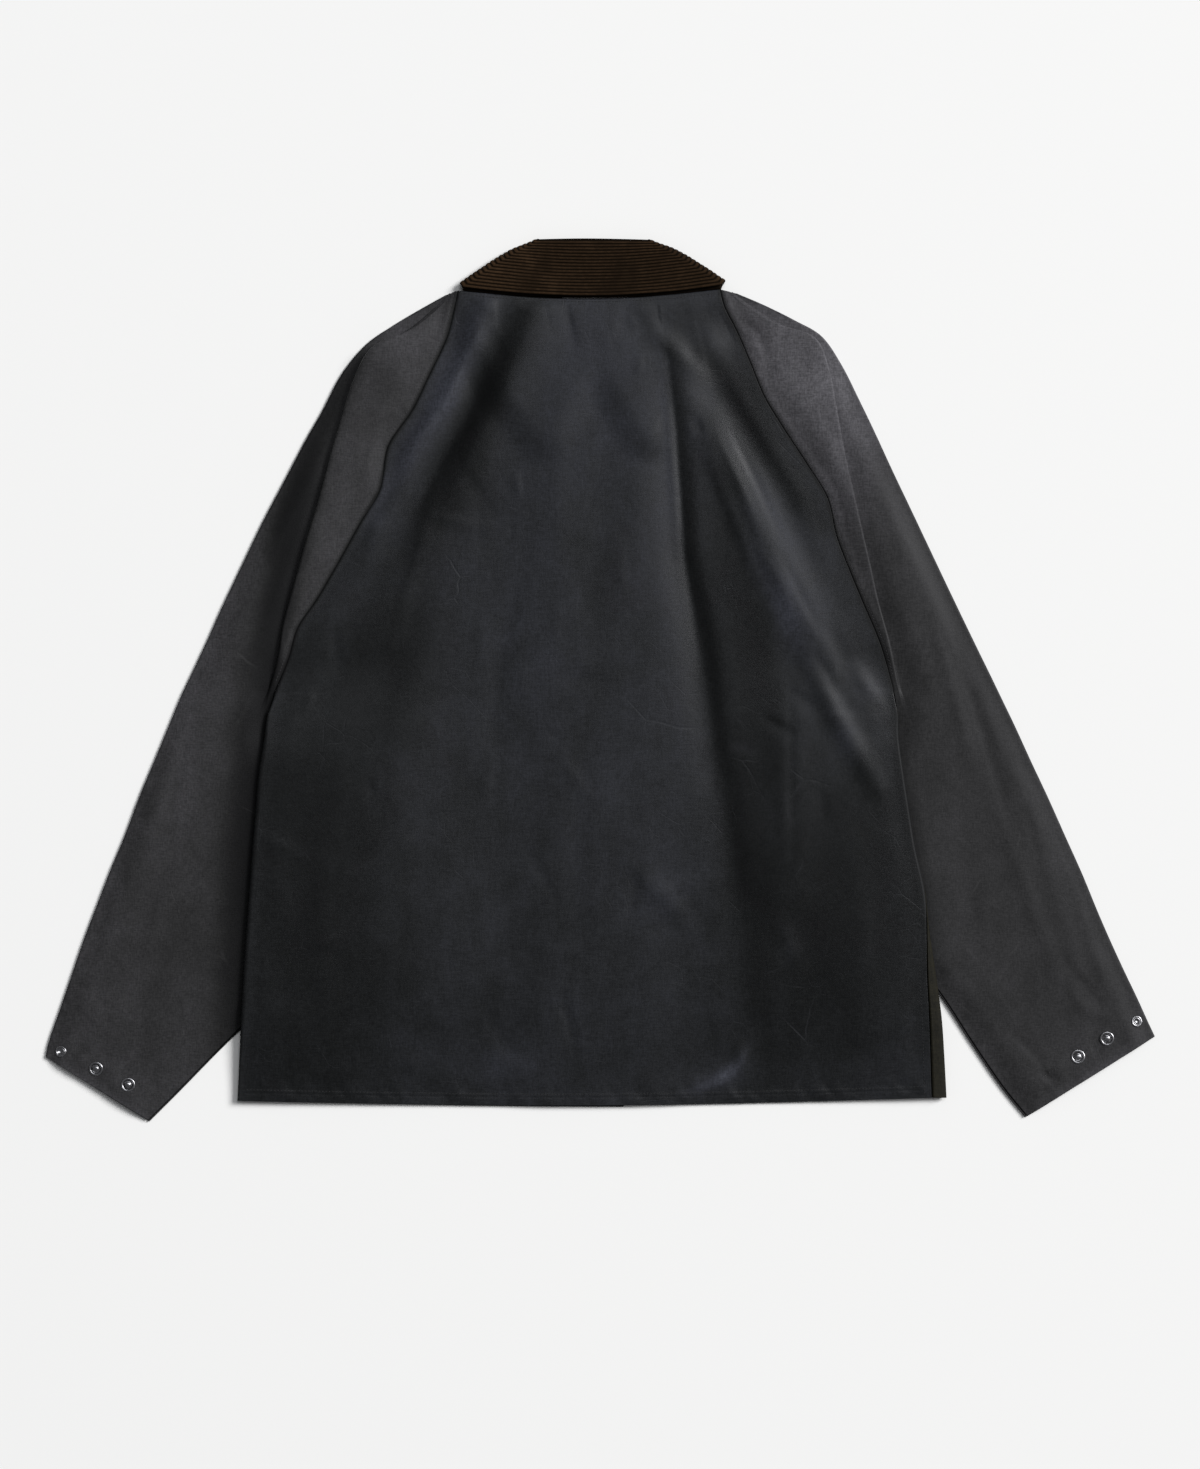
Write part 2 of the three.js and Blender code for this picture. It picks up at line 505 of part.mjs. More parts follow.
// A front panel: rows from the neck to the hem, columns from the side to the centre edge.
function frontPoints(sleeve, centre, lap) {
  const count = sleeve.raglan.length;
  const neckX = sleeve.raglan[0].front[0];
  const neckStart = [neckX, neckHeight(sleeve, neckX)];
  const rowsNeckFall = neckStart[1] - neckHeight(sleeve, 0);
  const neckBend = (part) => {
    const x = lerp(neckX, centre, part);
    return neckHeight(sleeve, x) - lerp(neckStart[1], neckStart[1] - rowsNeckFall, part);
  };
  const rows = [];
  for (let index = 0; index < ROWS; index += 1) {
    const down = index / (count - 1);
    const neckShare = 1 - smooth(down * 3);
    let edge;
    if (index < count) {
      const seam = sleeve.raglan[index].front;
      const start = [seam[0] + (sleeve.inward * SEAM_GAP) / 2, seam[1]];
      edge = FRONT_EDGE_STEPS.map((part) => {
        const place = [start[0] + sleeve.inward * RAGLAN_EDGE_WIDTH * part, start[1]];
        place[1] += neckShare * neckBend((place[0] - start[0]) / (centre - start[0]));
        return [...place, LOWEST + collarRise(place)];
      });
    } else {
      const row = sleeve.side[index - count];
      const last = seamLength(row) - ROUND_SEAM_GAP / 2;
      const round = Math.min(last, Math.PI * sideRadius(row));
      const lengths = last > round + 1 ? [last, round, round * 0.67, round * 0.33, 0] : null;
      const even = FRONT_EDGE_STEPS.map((part) => last * (1 - part));
      edge = (lengths ?? even).map((length) => onSide(row, sleeve.inward, length));
    }
    const seamX = edge[0][0];
    const start = edge.at(-1);
    const fall = rowsNeckFall * (1 - Math.min(1, down));
    const end = [centre, start[1] - fall];
    const hemSag = HEM_SAG * smooth((index / (ROWS - 1)) * 3 - 2);
    const inner = steps(FRONT_COLUMNS).slice(1).map((part) => {
      const place = between(start, end, part);
      place[1] += neckShare * neckBend((place[0] - seamX) / (centre - seamX));
      place[1] -= hemSag * Math.sin((Math.PI / 2) * part);
      return [...place, frontHeight(place) + lap(place[0])];
    });
    rows.push([...edge, ...inner]);
  }
  return rows;
}

// A curve through three places, by the amount of the way from the first to the last.
function through(a, b, c, amount) {
  const first = 2 * (amount - 0.5) * (amount - 1);
  const second = 4 * amount * (1 - amount);
  const third = 2 * amount * (amount - 0.5);
  return [0, 1].map((axis) => first * a[axis] + second * b[axis] + third * c[axis]);
}

function collarStations() {
  const stations = [];
  const add = (rows, amount, turn, away, sag) => {
    const pick = (line) => through(rows[0][line], rows[1][line], rows[2][line], amount);
    stations.push({ neck: pick("neck"), roll: pick("roll"), fall: pick("fall"), turn, away, sag });
  };
  const backRows = [COLLAR.leftCorner, COLLAR.back, COLLAR.rightCorner];
  const cornerAway = (corner, side) => {
    const way = unit(corner.neck, corner.roll);
    return [-way[1] * side, way[0] * side];
  };
  const leftAway = cornerAway(COLLAR.leftCorner, 1);
  const rightAway = cornerAway(COLLAR.rightCorner, -1);
  for (const amount of [0, 0.3, 0.6, 0.85, 1]) add(SLEEVES.left.collar, amount, 0, leftAway, 0);
  for (const turn of [45, 90, 135]) add(backRows, 0, turn, leftAway, 0);
  for (const amount of [0, 0.15, 0.32, 0.5, 0.68, 0.85, 1]) {
    add(backRows, amount, 180, leftAway, COLLAR_SAG * Math.sin(Math.PI * amount) ** 2);
  }
  for (const turn of [135, 90, 45]) add(backRows, 1, turn, rightAway, 0);
  for (const amount of [1, 0.85, 0.6, 0.3, 0]) add(SLEEVES.right.collar, amount, 0, rightAway, 0);
  return stations;
}

const STAND_POINTS = 3;
const ROLL_SEGMENTS = 3;

// The collar: a row for each section, its points going up the stand, over the roll and down the
// fall. raised holds how far the corduroy ribs stand out of the outer face at each point.
function collarGrid() {
  const longest = distance(COLLAR.back.roll, COLLAR.back.fall);
  const fallPoints = 2 * Math.round(longest / WALE_PITCH) + 1;
  const rollRadius = (FALL_OUT - STAND_OUT) / 2;
  const rows = [];
  const raised = [];
  for (const station of collarStations()) {
    const up = unit(station.neck, station.roll);
    const section = [];
    for (const part of steps(STAND_POINTS)) {
      section.push({ place: between(station.neck, station.roll, part), out: STAND_OUT, rib: 0 });
    }
    for (let step = 1; step <= ROLL_SEGMENTS; step += 1) {
      const angle = (Math.PI * step) / ROLL_SEGMENTS;
      const beyond = rollRadius * Math.sin(angle);
      const place = [station.roll[0] + up[0] * beyond, station.roll[1] + up[1] * beyond];
      section.push({ place, out: STAND_OUT + rollRadius * (1 - Math.cos(angle)), rib: 0 });
    }
    steps(fallPoints).slice(1).forEach((part, index) => {
      const place = between(station.roll, station.fall, part);
      section.push({ place, out: FALL_OUT, rib: index % 2 === 0 ? WALE_HEIGHT : 0 });
    });
    const angle = radians(station.turn);
    const shown = smooth(station.turn / 90);
    rows.push(section.map(({ place, out }) => [
      place[0] + station.away[0] * out * Math.sin(angle),
      place[1] + station.away[1] * out * Math.sin(angle),
      COLLAR_MIDDLE - station.sag - out * Math.cos(angle),
    ]));
    raised.push(section.map(({ rib }) => rib * shown));
  }
  return { rows, raised };
}

// A closed wall of the given thickness about a grid of points. raised adds to the outer face,
// which is the side that the grid's normals point to, or the other one if turned is -1.
function wall(rows, thickness, turned = 1, raised = null) {
  const height = rows.length;
  const width = rows[0].length;
  const at = (row, column) => new THREE.Vector3(...rows[row][column]);
  const positions = [];
  const corner = (row, column, side) => {
    const across = at(row, Math.min(column + 1, width - 1)).sub(at(row, Math.max(column - 1, 0)));
    const along = at(Math.min(row + 1, height - 1), column).sub(at(Math.max(row - 1, 0), column));
    const normal = across.cross(along).normalize().multiplyScalar(turned);
    const extra = raised && side > 0 ? raised[row][column] : 0;
    const moved = at(row, column).addScaledVector(normal, (side * thickness) / 2 + extra);
    positions.push(moved.x, moved.y, moved.z);
  };
  for (const side of [1, -1]) {
    for (let row = 0; row < height; row += 1) {
      for (let column = 0; column < width; column += 1) corner(row, column, side);
    }
  }
  const indices = [];
  const index = (row, column, side) => (side > 0 ? 0 : height * width) + row * width + column;
  const quad = (a, b, c, d) => {
    if (turned > 0) indices.push(a, b, c, a, c, d);
    else indices.push(a, c, b, a, d, c);
  };
  for (let row = 0; row < height - 1; row += 1) {
    for (let column = 0; column < width - 1; column += 1) {
      const next = column + 1;
      const below = row + 1;
      quad(index(row, column, 1), index(row, next, 1), index(below, next, 1), index(below, column, 1));
      quad(index(row, column, -1), index(below, column, -1), index(below, next, -1), index(row, next, -1));
    }
  }
  const rim = (first, second) => {
    const [outerA, innerA] = [1, -1].map((side) => index(...first, side));
    const [outerB, innerB] = [1, -1].map((side) => index(...second, side));
    quad(outerB, outerA, innerA, innerB);
  };
  for (let column = 0; column < width - 1; column += 1) {
    rim([0, column], [0, column + 1]);
    rim([height - 1, column + 1], [height - 1, column]);
  }
  for (let row = 0; row < height - 1; row += 1) {
    rim([row + 1, 0], [row, 0]);
    rim([row, width - 1], [row + 1, width - 1]);
  }
  const geometry = new THREE.BufferGeometry();
  geometry.setAttribute("position", new THREE.Float32BufferAttribute(positions, 3));
  geometry.setIndex(indices);
  return geometry;
}

// A press-stud part, turned about its own axis: a domed ring with a hole, or a base with a post.
function studGeometry(diameter, post) {
  const radius = diameter / 2;
  const ring = [[radius * 0.42, 0], [radius, 0], [radius, 0.5], [radius * 0.82, 1.1], [radius * 0.55, 0.9]];
  const base = [[0, 0], [radius, 0], [radius, 0.5], [radius * 0.8, 1.0], [radius * 0.45, 0.7]];
  const tip = [[radius * 0.3, 1.0], [radius * 0.34, 2.2], [radius * 0.2, 2.7], [0, 2.8]];
  const profile = post ? [...base, ...tip] : [...ring, ring[0]];
  const geometry = new THREE.LatheGeometry(profile.map(([x, y]) => new THREE.Vector2(x, y)), 14);
  geometry.rotateX(Math.PI / 2);
  return geometry;
}

function piece(name, geometry, finish) {
  geometry.computeVertexNormals();
  const mesh = new THREE.Mesh(geometry, new THREE.MeshStandardMaterial(finish));
  mesh.name = name;
  return mesh;
}

const jacket = new THREE.Group();
jacket.name = "jacket";
jacket.position.set(...CENTRING, 0);
jacket.add(piece("back", wall(backPoints(), CLOTH, -1), NAVY));
const leftFront = frontPoints(SLEEVES.left, LAP_HALF, () => 0);
const rightFront = frontPoints(SLEEVES.right, -LAP_HALF, (x) => lapRise(x, FRONT_LAP_SLOPE));
jacket.add(piece("front_left", wall(leftFront, CLOTH, -1), OLIVE));
jacket.add(piece("front_right", wall(rightFront, CLOTH, 1), OLIVE));
jacket.add(piece("sleeve_left", wall(sleevePoints(SLEEVES.left), CLOTH, 1), CHARCOAL));
jacket.add(piece("sleeve_right", wall(sleevePoints(SLEEVES.right), CLOTH, -1), CHARCOAL));
const collar = collarGrid();
jacket.add(piece("collar", wall(collar.rows, CORDUROY, 1, collar.raised), BROWN));
const studHeight = LOWEST + LAYER + CLOTH / 2 + SEAM_GAP;
for (const { name, at, diameter, post } of STUDS) {
  const stud = piece(name, studGeometry(diameter, post), GUNMETAL);
  stud.position.set(at[0], at[1], studHeight);
  jacket.add(stud);
}

export default jacket;
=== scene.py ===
"""A waxed cotton jacket with raglan sleeves and a corduroy collar, lying flat on its front.

+Z is up from the floor, +Y points to the collar and +X to the wearer's right. The tables and the
surfaces are in millimetres; a mesh is turned to metres when it is made.
"""

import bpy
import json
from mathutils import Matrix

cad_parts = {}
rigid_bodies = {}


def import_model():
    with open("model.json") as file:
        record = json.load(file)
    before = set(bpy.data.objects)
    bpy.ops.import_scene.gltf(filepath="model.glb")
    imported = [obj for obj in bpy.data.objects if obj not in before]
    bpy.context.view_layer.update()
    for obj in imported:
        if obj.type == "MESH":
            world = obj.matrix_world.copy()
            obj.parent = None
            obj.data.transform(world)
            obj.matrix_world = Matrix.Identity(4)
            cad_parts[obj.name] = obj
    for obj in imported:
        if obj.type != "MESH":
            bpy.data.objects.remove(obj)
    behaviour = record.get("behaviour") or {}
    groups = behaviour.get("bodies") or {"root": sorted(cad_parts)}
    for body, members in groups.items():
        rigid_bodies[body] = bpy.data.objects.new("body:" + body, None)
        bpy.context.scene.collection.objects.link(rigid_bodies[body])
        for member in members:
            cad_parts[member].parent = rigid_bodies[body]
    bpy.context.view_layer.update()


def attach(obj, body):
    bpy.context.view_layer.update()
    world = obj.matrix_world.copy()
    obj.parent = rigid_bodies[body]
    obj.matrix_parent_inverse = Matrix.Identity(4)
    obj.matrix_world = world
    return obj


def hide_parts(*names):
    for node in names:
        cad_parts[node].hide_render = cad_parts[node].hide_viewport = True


bl_info = {
    "name": "Waxed Cotton Jacket",
    "version": (1, 0, 0),
    "blender": (4, 5, 0),
    "location": "3D View > Sidebar > Jacket",
    "description": "Builds a waxed cotton jacket laid flat, its stitching, press studs and stage",
    "category": "Add Mesh",
}

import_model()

import json
import math

import bpy
import numpy as np
from mathutils import Vector

MM = 0.001

# Sizes shared by the panels, in millimetres
CLOTH = 1.2
CORDUROY = 1.8
SEAM_GAP = 0.3
ROUND_SEAM_GAP = 0.9
LAYER = 2.0
LOWEST = CLOTH / 2
BODY_OVER_SLEEVE = 4.3
FRONT_OVER_COLLAR = 2.7
LAP_RISE = 1.7
LAP_HALF = 20
FOLD_RADIUS = 1.0
LEAST_ARC = 1.0
BACK_LOFT = 0.9
BACK_PILLOW = 2.5
SLEEVE_LOFT = 2.2
RAGLAN_REACH = 45
RAGLAN_EDGE_WIDTH = 6
NECK_REACH = 60
NECK_SAG = 7.6
NECK_GAP = 1.4
HEM_SAG = 5.5
COLLAR_MIDDLE = 4.65
COLLAR_SAG = 0.5
STAND_OUT = 1.25
FALL_OUT = 3.75
COLLAR_BOW = 1.5
SEAM_DIP = 0.8
ARMPIT_EARLY = 30
SEAM_SLIDE = 1.6
STITCH_IN = 2.8
CENTRING = np.array([-0.23, 0.31, 0.0])

# Sleeve sections from the neck to the armpit: the back seam, the outline and the front seam, how
# far the shoulder fold lies from the back seam, the angle it turns through, the cloth tucked in
# it and how far the back seam is lifted.
RAGLAN_COLUMNS = ("back_x", "back_y", "outer_x", "outer_y", "front_x", "front_y", "fold", "turn", "tuck", "lift")
LEFT_RAGLAN = (
    (-120.6, 330.6, -131.5, 326.5, -97.5, 310.3, 5.7, 0, 1, 0.6),
    (-123.8, 315.5, -153.0, 314.9, -104.5, 279.2, 15.4, 15, 2, 0.8),
    (-130.9, 289.4, -175.9, 301.3, -115.6, 253.7, 31, 45, 2, 1.0),
    (-146.2, 257.1, -198.9, 285.2, -129.2, 229.9, 52.5, 130, 4, 1.2),
    (-159.8, 229.1, -219.3, 260.5, -144.5, 206.1, 54.8, 180, 12, 1.2),
    (-180.2, 198.5, -236.3, 228.2, -161.5, 180.6, 44.5, 180, 13, 1.3),
    (-187.0, 161.9, -249.9, 204.4, -178.5, 155.1, 49.7, 180, 13, 1.4),
    (-204.0, 133.0, -268.6, 168.7, -197.2, 127.9, 39.2, 180, 12, 1.6),
    (-221.0, 102.4, -287.3, 133.0, -215.9, 99.9, 31.3, 180, 12, 1.9),
    (-239.7, 70.1, -306.0, 93.9, -232.9, 72.7, 21.8, 180, 10, 2.4),
    (-256.7, 44.6, -321.3, 61.6, -248.2, 47.2, 12.3, 180, 6, 3.2),
    (-264.3, 19.1, -334.1, 32.7, -261.8, 19.1, 8.7, 120, 2, 3.0),
    (-276.2, -11.5, -348.5, 2.1, -274.6, -11.5, 5.4, 30, 1, 1.3),
)
RIGHT_RAGLAN = (
    (101.8, 331.6, 116.5, 328.0, 86.3, 311.3, 9.0, 0, 1, 0.6),
    (105.8, 316.2, 140.2, 318.3, 91.0, 280.9, 20.3, 15, 2, 0.8),
    (116.5, 295.4, 165.8, 305.6, 103.7, 255.4, 35, 45, 2, 1.0),
    (127.5, 269.9, 188.7, 292.0, 117.3, 231.6, 58, 130, 4, 1.2),
    (139.4, 241.0, 205.7, 267.3, 132.6, 207.8, 58.9, 180, 12, 1.2),
    (156.4, 212.9, 220.2, 238.4, 149.6, 182.3, 47.4, 180, 12, 1.3),
    (174.2, 185.7, 232.9, 212.1, 166.6, 155.1, 34.7, 180, 10, 1.5),
    (192.9, 155.1, 249.0, 177.2, 185.3, 127.9, 22.6, 180, 8, 2.0),
    (200.6, 122.8, 265.2, 143.2, 198.9, 100.7, 22.1, 180, 8, 2.2),
    (210.8, 95.6, 280.5, 110.9, 210.8, 75.2, 18.3, 180, 7, 2.6),
    (222.7, 66.7, 296.6, 76.9, 224.4, 49.7, 13.0, 180, 5, 3.0),
    (238.0, 30.2, 316.2, 36.1, 236.5, 21.7, 7.9, 120, 2, 3.0),
    (249.0, -8.1, 333.2, 1.3, 247.6, -8.1, 5.2, 30, 1, 1.3),
)
# Sleeve sections from below the armpit to the cuff: the underarm edge and the outline.
ARM_COLUMNS = ("under_x", "under_y", "outer_x", "outer_y")
LEFT_ARM = (
    (-279.2, -29.3, -356.1, -14.0),
    (-278.5, -50.6, -366.3, -38.7),
    (-261.8, -79.5, -378.2, -67.6),
    (-239.7, -111.8, -391.0, -98.2),
    (-216.8, -150.9, -403.8, -132.2),
    (-207.4, -186.6, -416.5, -162.8),
    (-224.4, -217.2, -427.6, -191.7),
    (-255.0, -246.1, -438.6, -220.6),
    (-287.3, -279.2, -448.8, -250.3),
    (-323.0, -314.1, -459.0, -280.1),
    (-355.3, -347.2, -468.0, -306.0),
    (-382.5, -374.4, -470.8, -319.2),
)
RIGHT_ARM = (
    (250.2, -26.8, 342.6, -18.3),
    (248.6, -48.9, 352.8, -39.5),
    (232.9, -77.8, 367.2, -71.0),
    (212.5, -111.8, 380.8, -99.9),
    (202.3, -145.8, 395.2, -132.2),
    (214.2, -179.8, 409.7, -164.5),
    (239.7, -208.7, 423.3, -197.6),
    (266.9, -239.3, 435.2, -224.8),
    (289.8, -269.0, 446.2, -248.6),
    (314.5, -307.3, 456.4, -269.9),
    (340.0, -344.7, 464.9, -288.6),
    (361.2, -371.0, 471.3, -302.2),
)
# The body's side edges below the armpits: the outline, and how far the side seam lies on the back.
SIDE_COLUMNS = ("edge_x", "edge_y", "wrap")
LEFT_SIDE = (
    (-282.2, -29.5, 0), (-284.9, -50.6, 0), (-289.6, -82, 0), (-291.8, -110, 0),
    (-294.6, -142, 0), (-297.2, -178, 0), (-299.9, -214, 0), (-302.3, -250, 0),
    (-304.2, -286, 0), (-305.9, -322, 0), (-307.7, -356.6, 0),
)
RIGHT_SIDE = (
    (253.0, -27, 0), (253.6, -49, 0), (258.2, -82, 0), (262.8, -112, 0),
    (267.8, -143, 0), (275.6, -178, 0.5), (279.6, -214, 3), (285.0, -250, 8),
    (289.8, -286, 11), (292.2, -320, 12), (294.1, -354, 13),
)
# Collar sections: the neck seam, the roll and the free edge of the fall, each as x, y.
COLLAR = {
    "left_front": ((-5, 265), (-12, 272), (-47, 214)),
    "left_side": ((-60, 284), (-31, 318), (-80, 258)),
    "left_corner": ((-115.7, 330.5), (-53.0, 372.4), (-116.4, 333.2)),
    "back": ((0, 324.8), (-6, 372.6), (-4, 326)),
    "right_corner": ((101.9, 332.3), (42.0, 372.0), (104.0, 335.2)),
    "right_side": ((52, 284), (24, 318), (72, 258)),
    "right_front": ((2, 265), (9, 272), (42, 214)),
}
# Folds as (half width, rise, lean, points): a trough has a negative rise, and a lean near 1 or -1
# makes one flank steeper than the other.
BACK_FOLDS = (
    (14, -2.0, 0.0, ((-72, 330), (-92, 285), (-112, 238), (-142, 192), (-178, 125))),
    (14, 3.4, -0.2, ((-88, 345), (-108, 292), (-130, 242), (-160, 196), (-198, 130))),
    (18, 3.2, 0.3, ((-42, 345), (-60, 290), (-82, 238), (-108, 188), (-146, 122))),
    (13, -2.6, -0.5, ((52, 300), (62, 230), (67, 175), (71, 105), (86, 28), (98, -75))),
    (14, -1.2, -0.3, ((72, 105), (85, 28), (99, -75), (116, -180), (120, -290))),
    (15, 2.0, 0.1, ((62, 268), (90, 218), (110, 179), (134, 131), (160, 79), (183, 35), (221, -20))),
    (24, 2.2, 0.0, ((136, 130), (156, 85), (178, 45), (200, 5))),
    (12, -1.3, 0.0, ((70, 290), (92, 262), (112, 232), (128, 204), (148, 170), (172, 119), (205, 60))),
    (9, 1.2, 0.0, ((34, 325), (48, 296), (74, 270), (98, 250))),
    (9, 2.4, 0.1, ((174, 24), (199, -28), (234, -90))),
    (7, 1.4, 0.0, ((216, 8), (246, -22))),
    (19, 2.0, 0.0, ((166, -10), (161, -90), (158, -180))),
    (22, 1.1, 0.6, ((-122, 96), (-148, 30), (-166, -20), (-178, -90))),
    (8, 0.8, 0.0, ((34, -156), (76, -210))),
    (8, 1.6, 0.0, ((70, -351), (98, -341), (117, -328), (130, -306))),
)
BACK_CREASES = (
    (3.5, -0.8, -0.6, ((58, 275), (65, 215), (68, 170), (73, 105), (80, 60), (87, 10))),
    (3.5, 0.45, 0.3, ((100, 205), (121, 160), (138, 118))),
    (3.5, -0.45, 0.3, ((112, 210), (134, 165), (150, 128))),
    (4, 0.5, -0.3, ((130, 118), (152, 84), (166, 50))),
    (4, -0.5, 0.3, ((150, 110), (170, 72), (186, 40))),
    (3, 0.5, 0.0, ((182, 30), (196, 12), (204, -8))),
    (5, 0.5, 0.0, ((-98, 300), (-120, 262), (-132, 232))),
    (5, -0.5, 0.0, ((-110, 225), (-140, 175), (-160, 138))),
    (5, 0.7, 0.4, ((58, 240), (62, 180), (67, 105))),
    (5, 0.7, 0.0, ((92, 190), (118, 128), (134, 84))),
    (4, -0.5, 0.3, ((161, -6), (162, -165))),
    (11, 0.5, 0.0, ((-30, 250), (-36, 160), (-30, 60))),
    (12, -0.4, 0.0, ((-4, 280), (4, 180), (-6, 70), (4, -30))),
    (11, 0.4, 0.0, ((28, 240), (32, 150), (24, 60))),
    (6, 0.6, 0.2, ((-138, 165), (-158, 95), (-176, 30))),
    (6, 0.7, 0.0, ((176, 54), (196, 20), (214, -12))),
    (9, 0.5, 0.0, ((-93, -318), (-60, -331))),
    (6, 0.6, 0.3, ((153, -204), (170, -246))),
    (4, 0.6, 0.4, ((-217, -214), (-238, -226))),
    (9, -0.5, 0.0, ((-60, 120), (-85, 20), (-92, -80))),
    (10, 0.4, 0.0, ((-232, -130), (-238, -230), (-230, -300))),
    (10, 0.4, 0.0, ((214, -140), (224, -220), (222, -300))),
    (9, -0.4, 0.2, ((-10, -40), (-20, -140), (-16, -230))),
)
SLEEVE_FOLDS = (
    (7, 2.0, 0.2, ((-184, 224), (-193, 190), (-198, 160))),
    (12, 1.8, 0.0, ((173, 228), (194, 198), (208, 163), (224, 125))),
    (22, 2.0, 0.0, ((227, 209), (248, 128), (270, 43), (302, -85))),
    (20, 1.4, 0.0, ((-330, 60), (-372, -60), (-400, -190))),
    (14, 1.2, 0.0, ((-400, -260), (-425, -300))),
    (9, 1.0, 0.0, ((352, -345), (378, -328))),
)
SLEEVE_CREASES = (
    (5, -0.7, 0.3, ((-207, 169), (-232, 142), (-233, 119))),
    (5, 0.8, 0.0, ((114, 300), (128, 290), (134, 276), (132, 262))),
    (4, -0.9, 0.0, ((117, 307), (134, 295), (141, 279), (139, 260))),
    (6, -0.7, 0.2, ((183, 240), (200, 205), (214, 170), (226, 130))),
    (7, 0.8, 0.0, ((-300, 150), (-316, 95), (-345, 30))),
    (6, -0.7, 0.2, ((-318, 40), (-352, -50), (-372, -130))),
    (7, 0.6, 0.0, ((-340, -120), (-372, -190), (-392, -260))),
    (6, -0.6, 0.0, ((-400, -90), (-420, -160), (-432, -230))),
    (5, 0.8, 0.4, ((-448, -262), (-428, -286), (-436, -306))),
    (5, -0.7, 0.3, ((-368, -300), (-392, -318), (-408, -330))),
    (6, 0.7, 0.0, ((280, 60), (300, -10), (318, -80))),
    (6, -0.7, 0.3, ((300, 40), (330, -60), (352, -140))),
    (7, 0.7, 0.0, ((340, -110), (366, -190), (388, -250))),
    (6, -0.6, 0.0, ((378, -130), (404, -200), (420, -260))),
    (5, 0.8, 0.4, ((363, -318), (380, -330), (398, -336))),
    (5, -0.8, 0.3, ((350, -300), (372, -322), (392, -350))),
    (5, 0.6, 0.0, ((398, -262), (412, -280), (430, -286))),
)
# Places where the cloth is paler, or darker below 0: partly the wax's own drier and wetter tone,
# partly painted highlight where the cloth faces the lights and painted shade where it turns away
# from them: the middle, the radii across and along, and the amount.
BACK_WAX_AND_PAINTED_LIGHT = (
    (-240, -190, 62, 210, -1.3),
    (-178, 15, 32, 80, -1.2),
    (-112, 190, 26, 60, -0.8),
    (-128, 250, 22, 60, 0.9),
    (-190, 165, 18, 40, 0.5),
    (205, -210, 80, 150, -1.4),
    (128, -70, 24, 100, -0.9),
    (95, 100, 18, 90, -0.7),
    (118, 215, 22, 60, -1.2),
    (166, 55, 24, 50, 0.7),
    (208, -46, 13, 26, 0.8),
    (232, -8, 14, 10, 0.7),
    (0, 238, 76, 110, 0.5),
    (-47, 51, 20, 40, 0.3),
    (-85, -327, 34, 17, 0.5),
    (110, -334, 21, 12, 1.0),
    (56, -184, 16, 22, 0.6),
    (162, -225, 10, 20, 0.8),
    (0, -100, 110, 160, 0.1),
)
# Painted highlight and painted shade in the same form as the folds, beside the main folds: pale
# along ridges that face the lights, dark along troughs and flanks in shade and along the right side edge.
BACK_PAINTED_LIGHT_LINES = (
    (12, 1.3, 0.0, ((-90, 345), (-112, 285), (-132, 238), (-160, 195), (-192, 140))),
    (15, -2.1, 0.0, ((-54, 335), (-82, 274), (-104, 226), (-134, 157), (-162, 106))),
    (10, -2.0, 0.0, ((66, 286), (106, 256), (126, 222), (144, 190), (184, 136))),
    (10, -1.2, -0.3, ((60, 285), (68, 215), (73, 170), (77, 105), (94, 28), (103, -50))),
    (15, -1.5, 0.0, ((106, 128), (118, 84), (131, 40), (140, -8), (147, -70))),
    (9, -0.6, -0.4, ((92, 28), (106, -75), (120, -160), (122, -230))),
    (12, -0.8, 0.0, ((112, -60), (122, -130), (138, -190), (136, -300))),
    (5, -1.3, 0.0, ((249, 20), (254, -60), (264, -130), (276, -205))),
    (8, 0.7, 0.0, ((98, 236), (124, 188), (150, 140), (172, 90))),
    (5, 0.7, 0.0, ((48, 290), (56, 230), (60, 175), (65, 110))),
    (9, 0.8, 0.0, ((128, 112), (150, 70), (168, 36))),
    (5, 1.6, 0.2, ((72, -351), (98, -341), (116, -328), (128, -308))),
)
# The sleeves' places, with painted highlight on the right shoulder and painted shade on the right arm.
SLEEVE_WAX_AND_PAINTED_LIGHT = (
    (-170, 290, 60, 32, 0.6),
    (-175, 230, 30, 40, -0.3),
    (-350, 40, 40, 90, 0.5),
    (-370, -200, 60, 120, -0.15),
    (-420, -320, 60, 50, -0.4),
    (165, 270, 70, 60, 1.6),
    (205, 190, 34, 70, 1.3),
    (310, -20, 70, 180, -0.8),
    (420, -250, 70, 90, -0.5),
)
# Painted shadow on the sleeves beside the left shoulder fold and beside the body's left and right side edges, then
# paler lines along the cuffs' edges, in the same form as the folds.
SLEEVE_PAINTED_SHADOW_AND_CUFF_LINES = (
    (16, -3.0, 0.0, ((-198, 310), (-220, 270), (-241, 215), (-258, 150), (-266, 110))),
    (13, -4.4, 0.0, ((-252, 165), (-262, 130), (-271, 80), (-278, 40), (-284, 0), (-290, -40))),
    (19, -4.2, 0.0, ((-284, 10), (-290, -60), (-297, -150), (-304, -250), (-309, -380))),
    (6, -1.2, 0.0, ((252, -10), (262, -90), (275, -170), (292, -270))),
    (7, 0.9, 0.0, ((-384, -376), (-430, -348), (-472, -320))),
    (7, 0.9, 0.0, ((362, -372), (418, -338), (472, -303))),
)
CUFF_BAND = 24.0
HEM_BAND = 11.5
STUDS = (
    ("socket_left", -457.3, -314.9, 9.6, False),
    ("stud_left_1", -427.6, -329.4, 12.4, True),
    ("stud_left_2", -400.4, -343.0, 12.4, True),
    ("stud_right_1", 405.5, -319.2, 12.4, True),
    ("stud_right_2", 430.1, -303.9, 12.4, True),
    ("socket_right", 455.6, -289.4, 9.6, False),
)


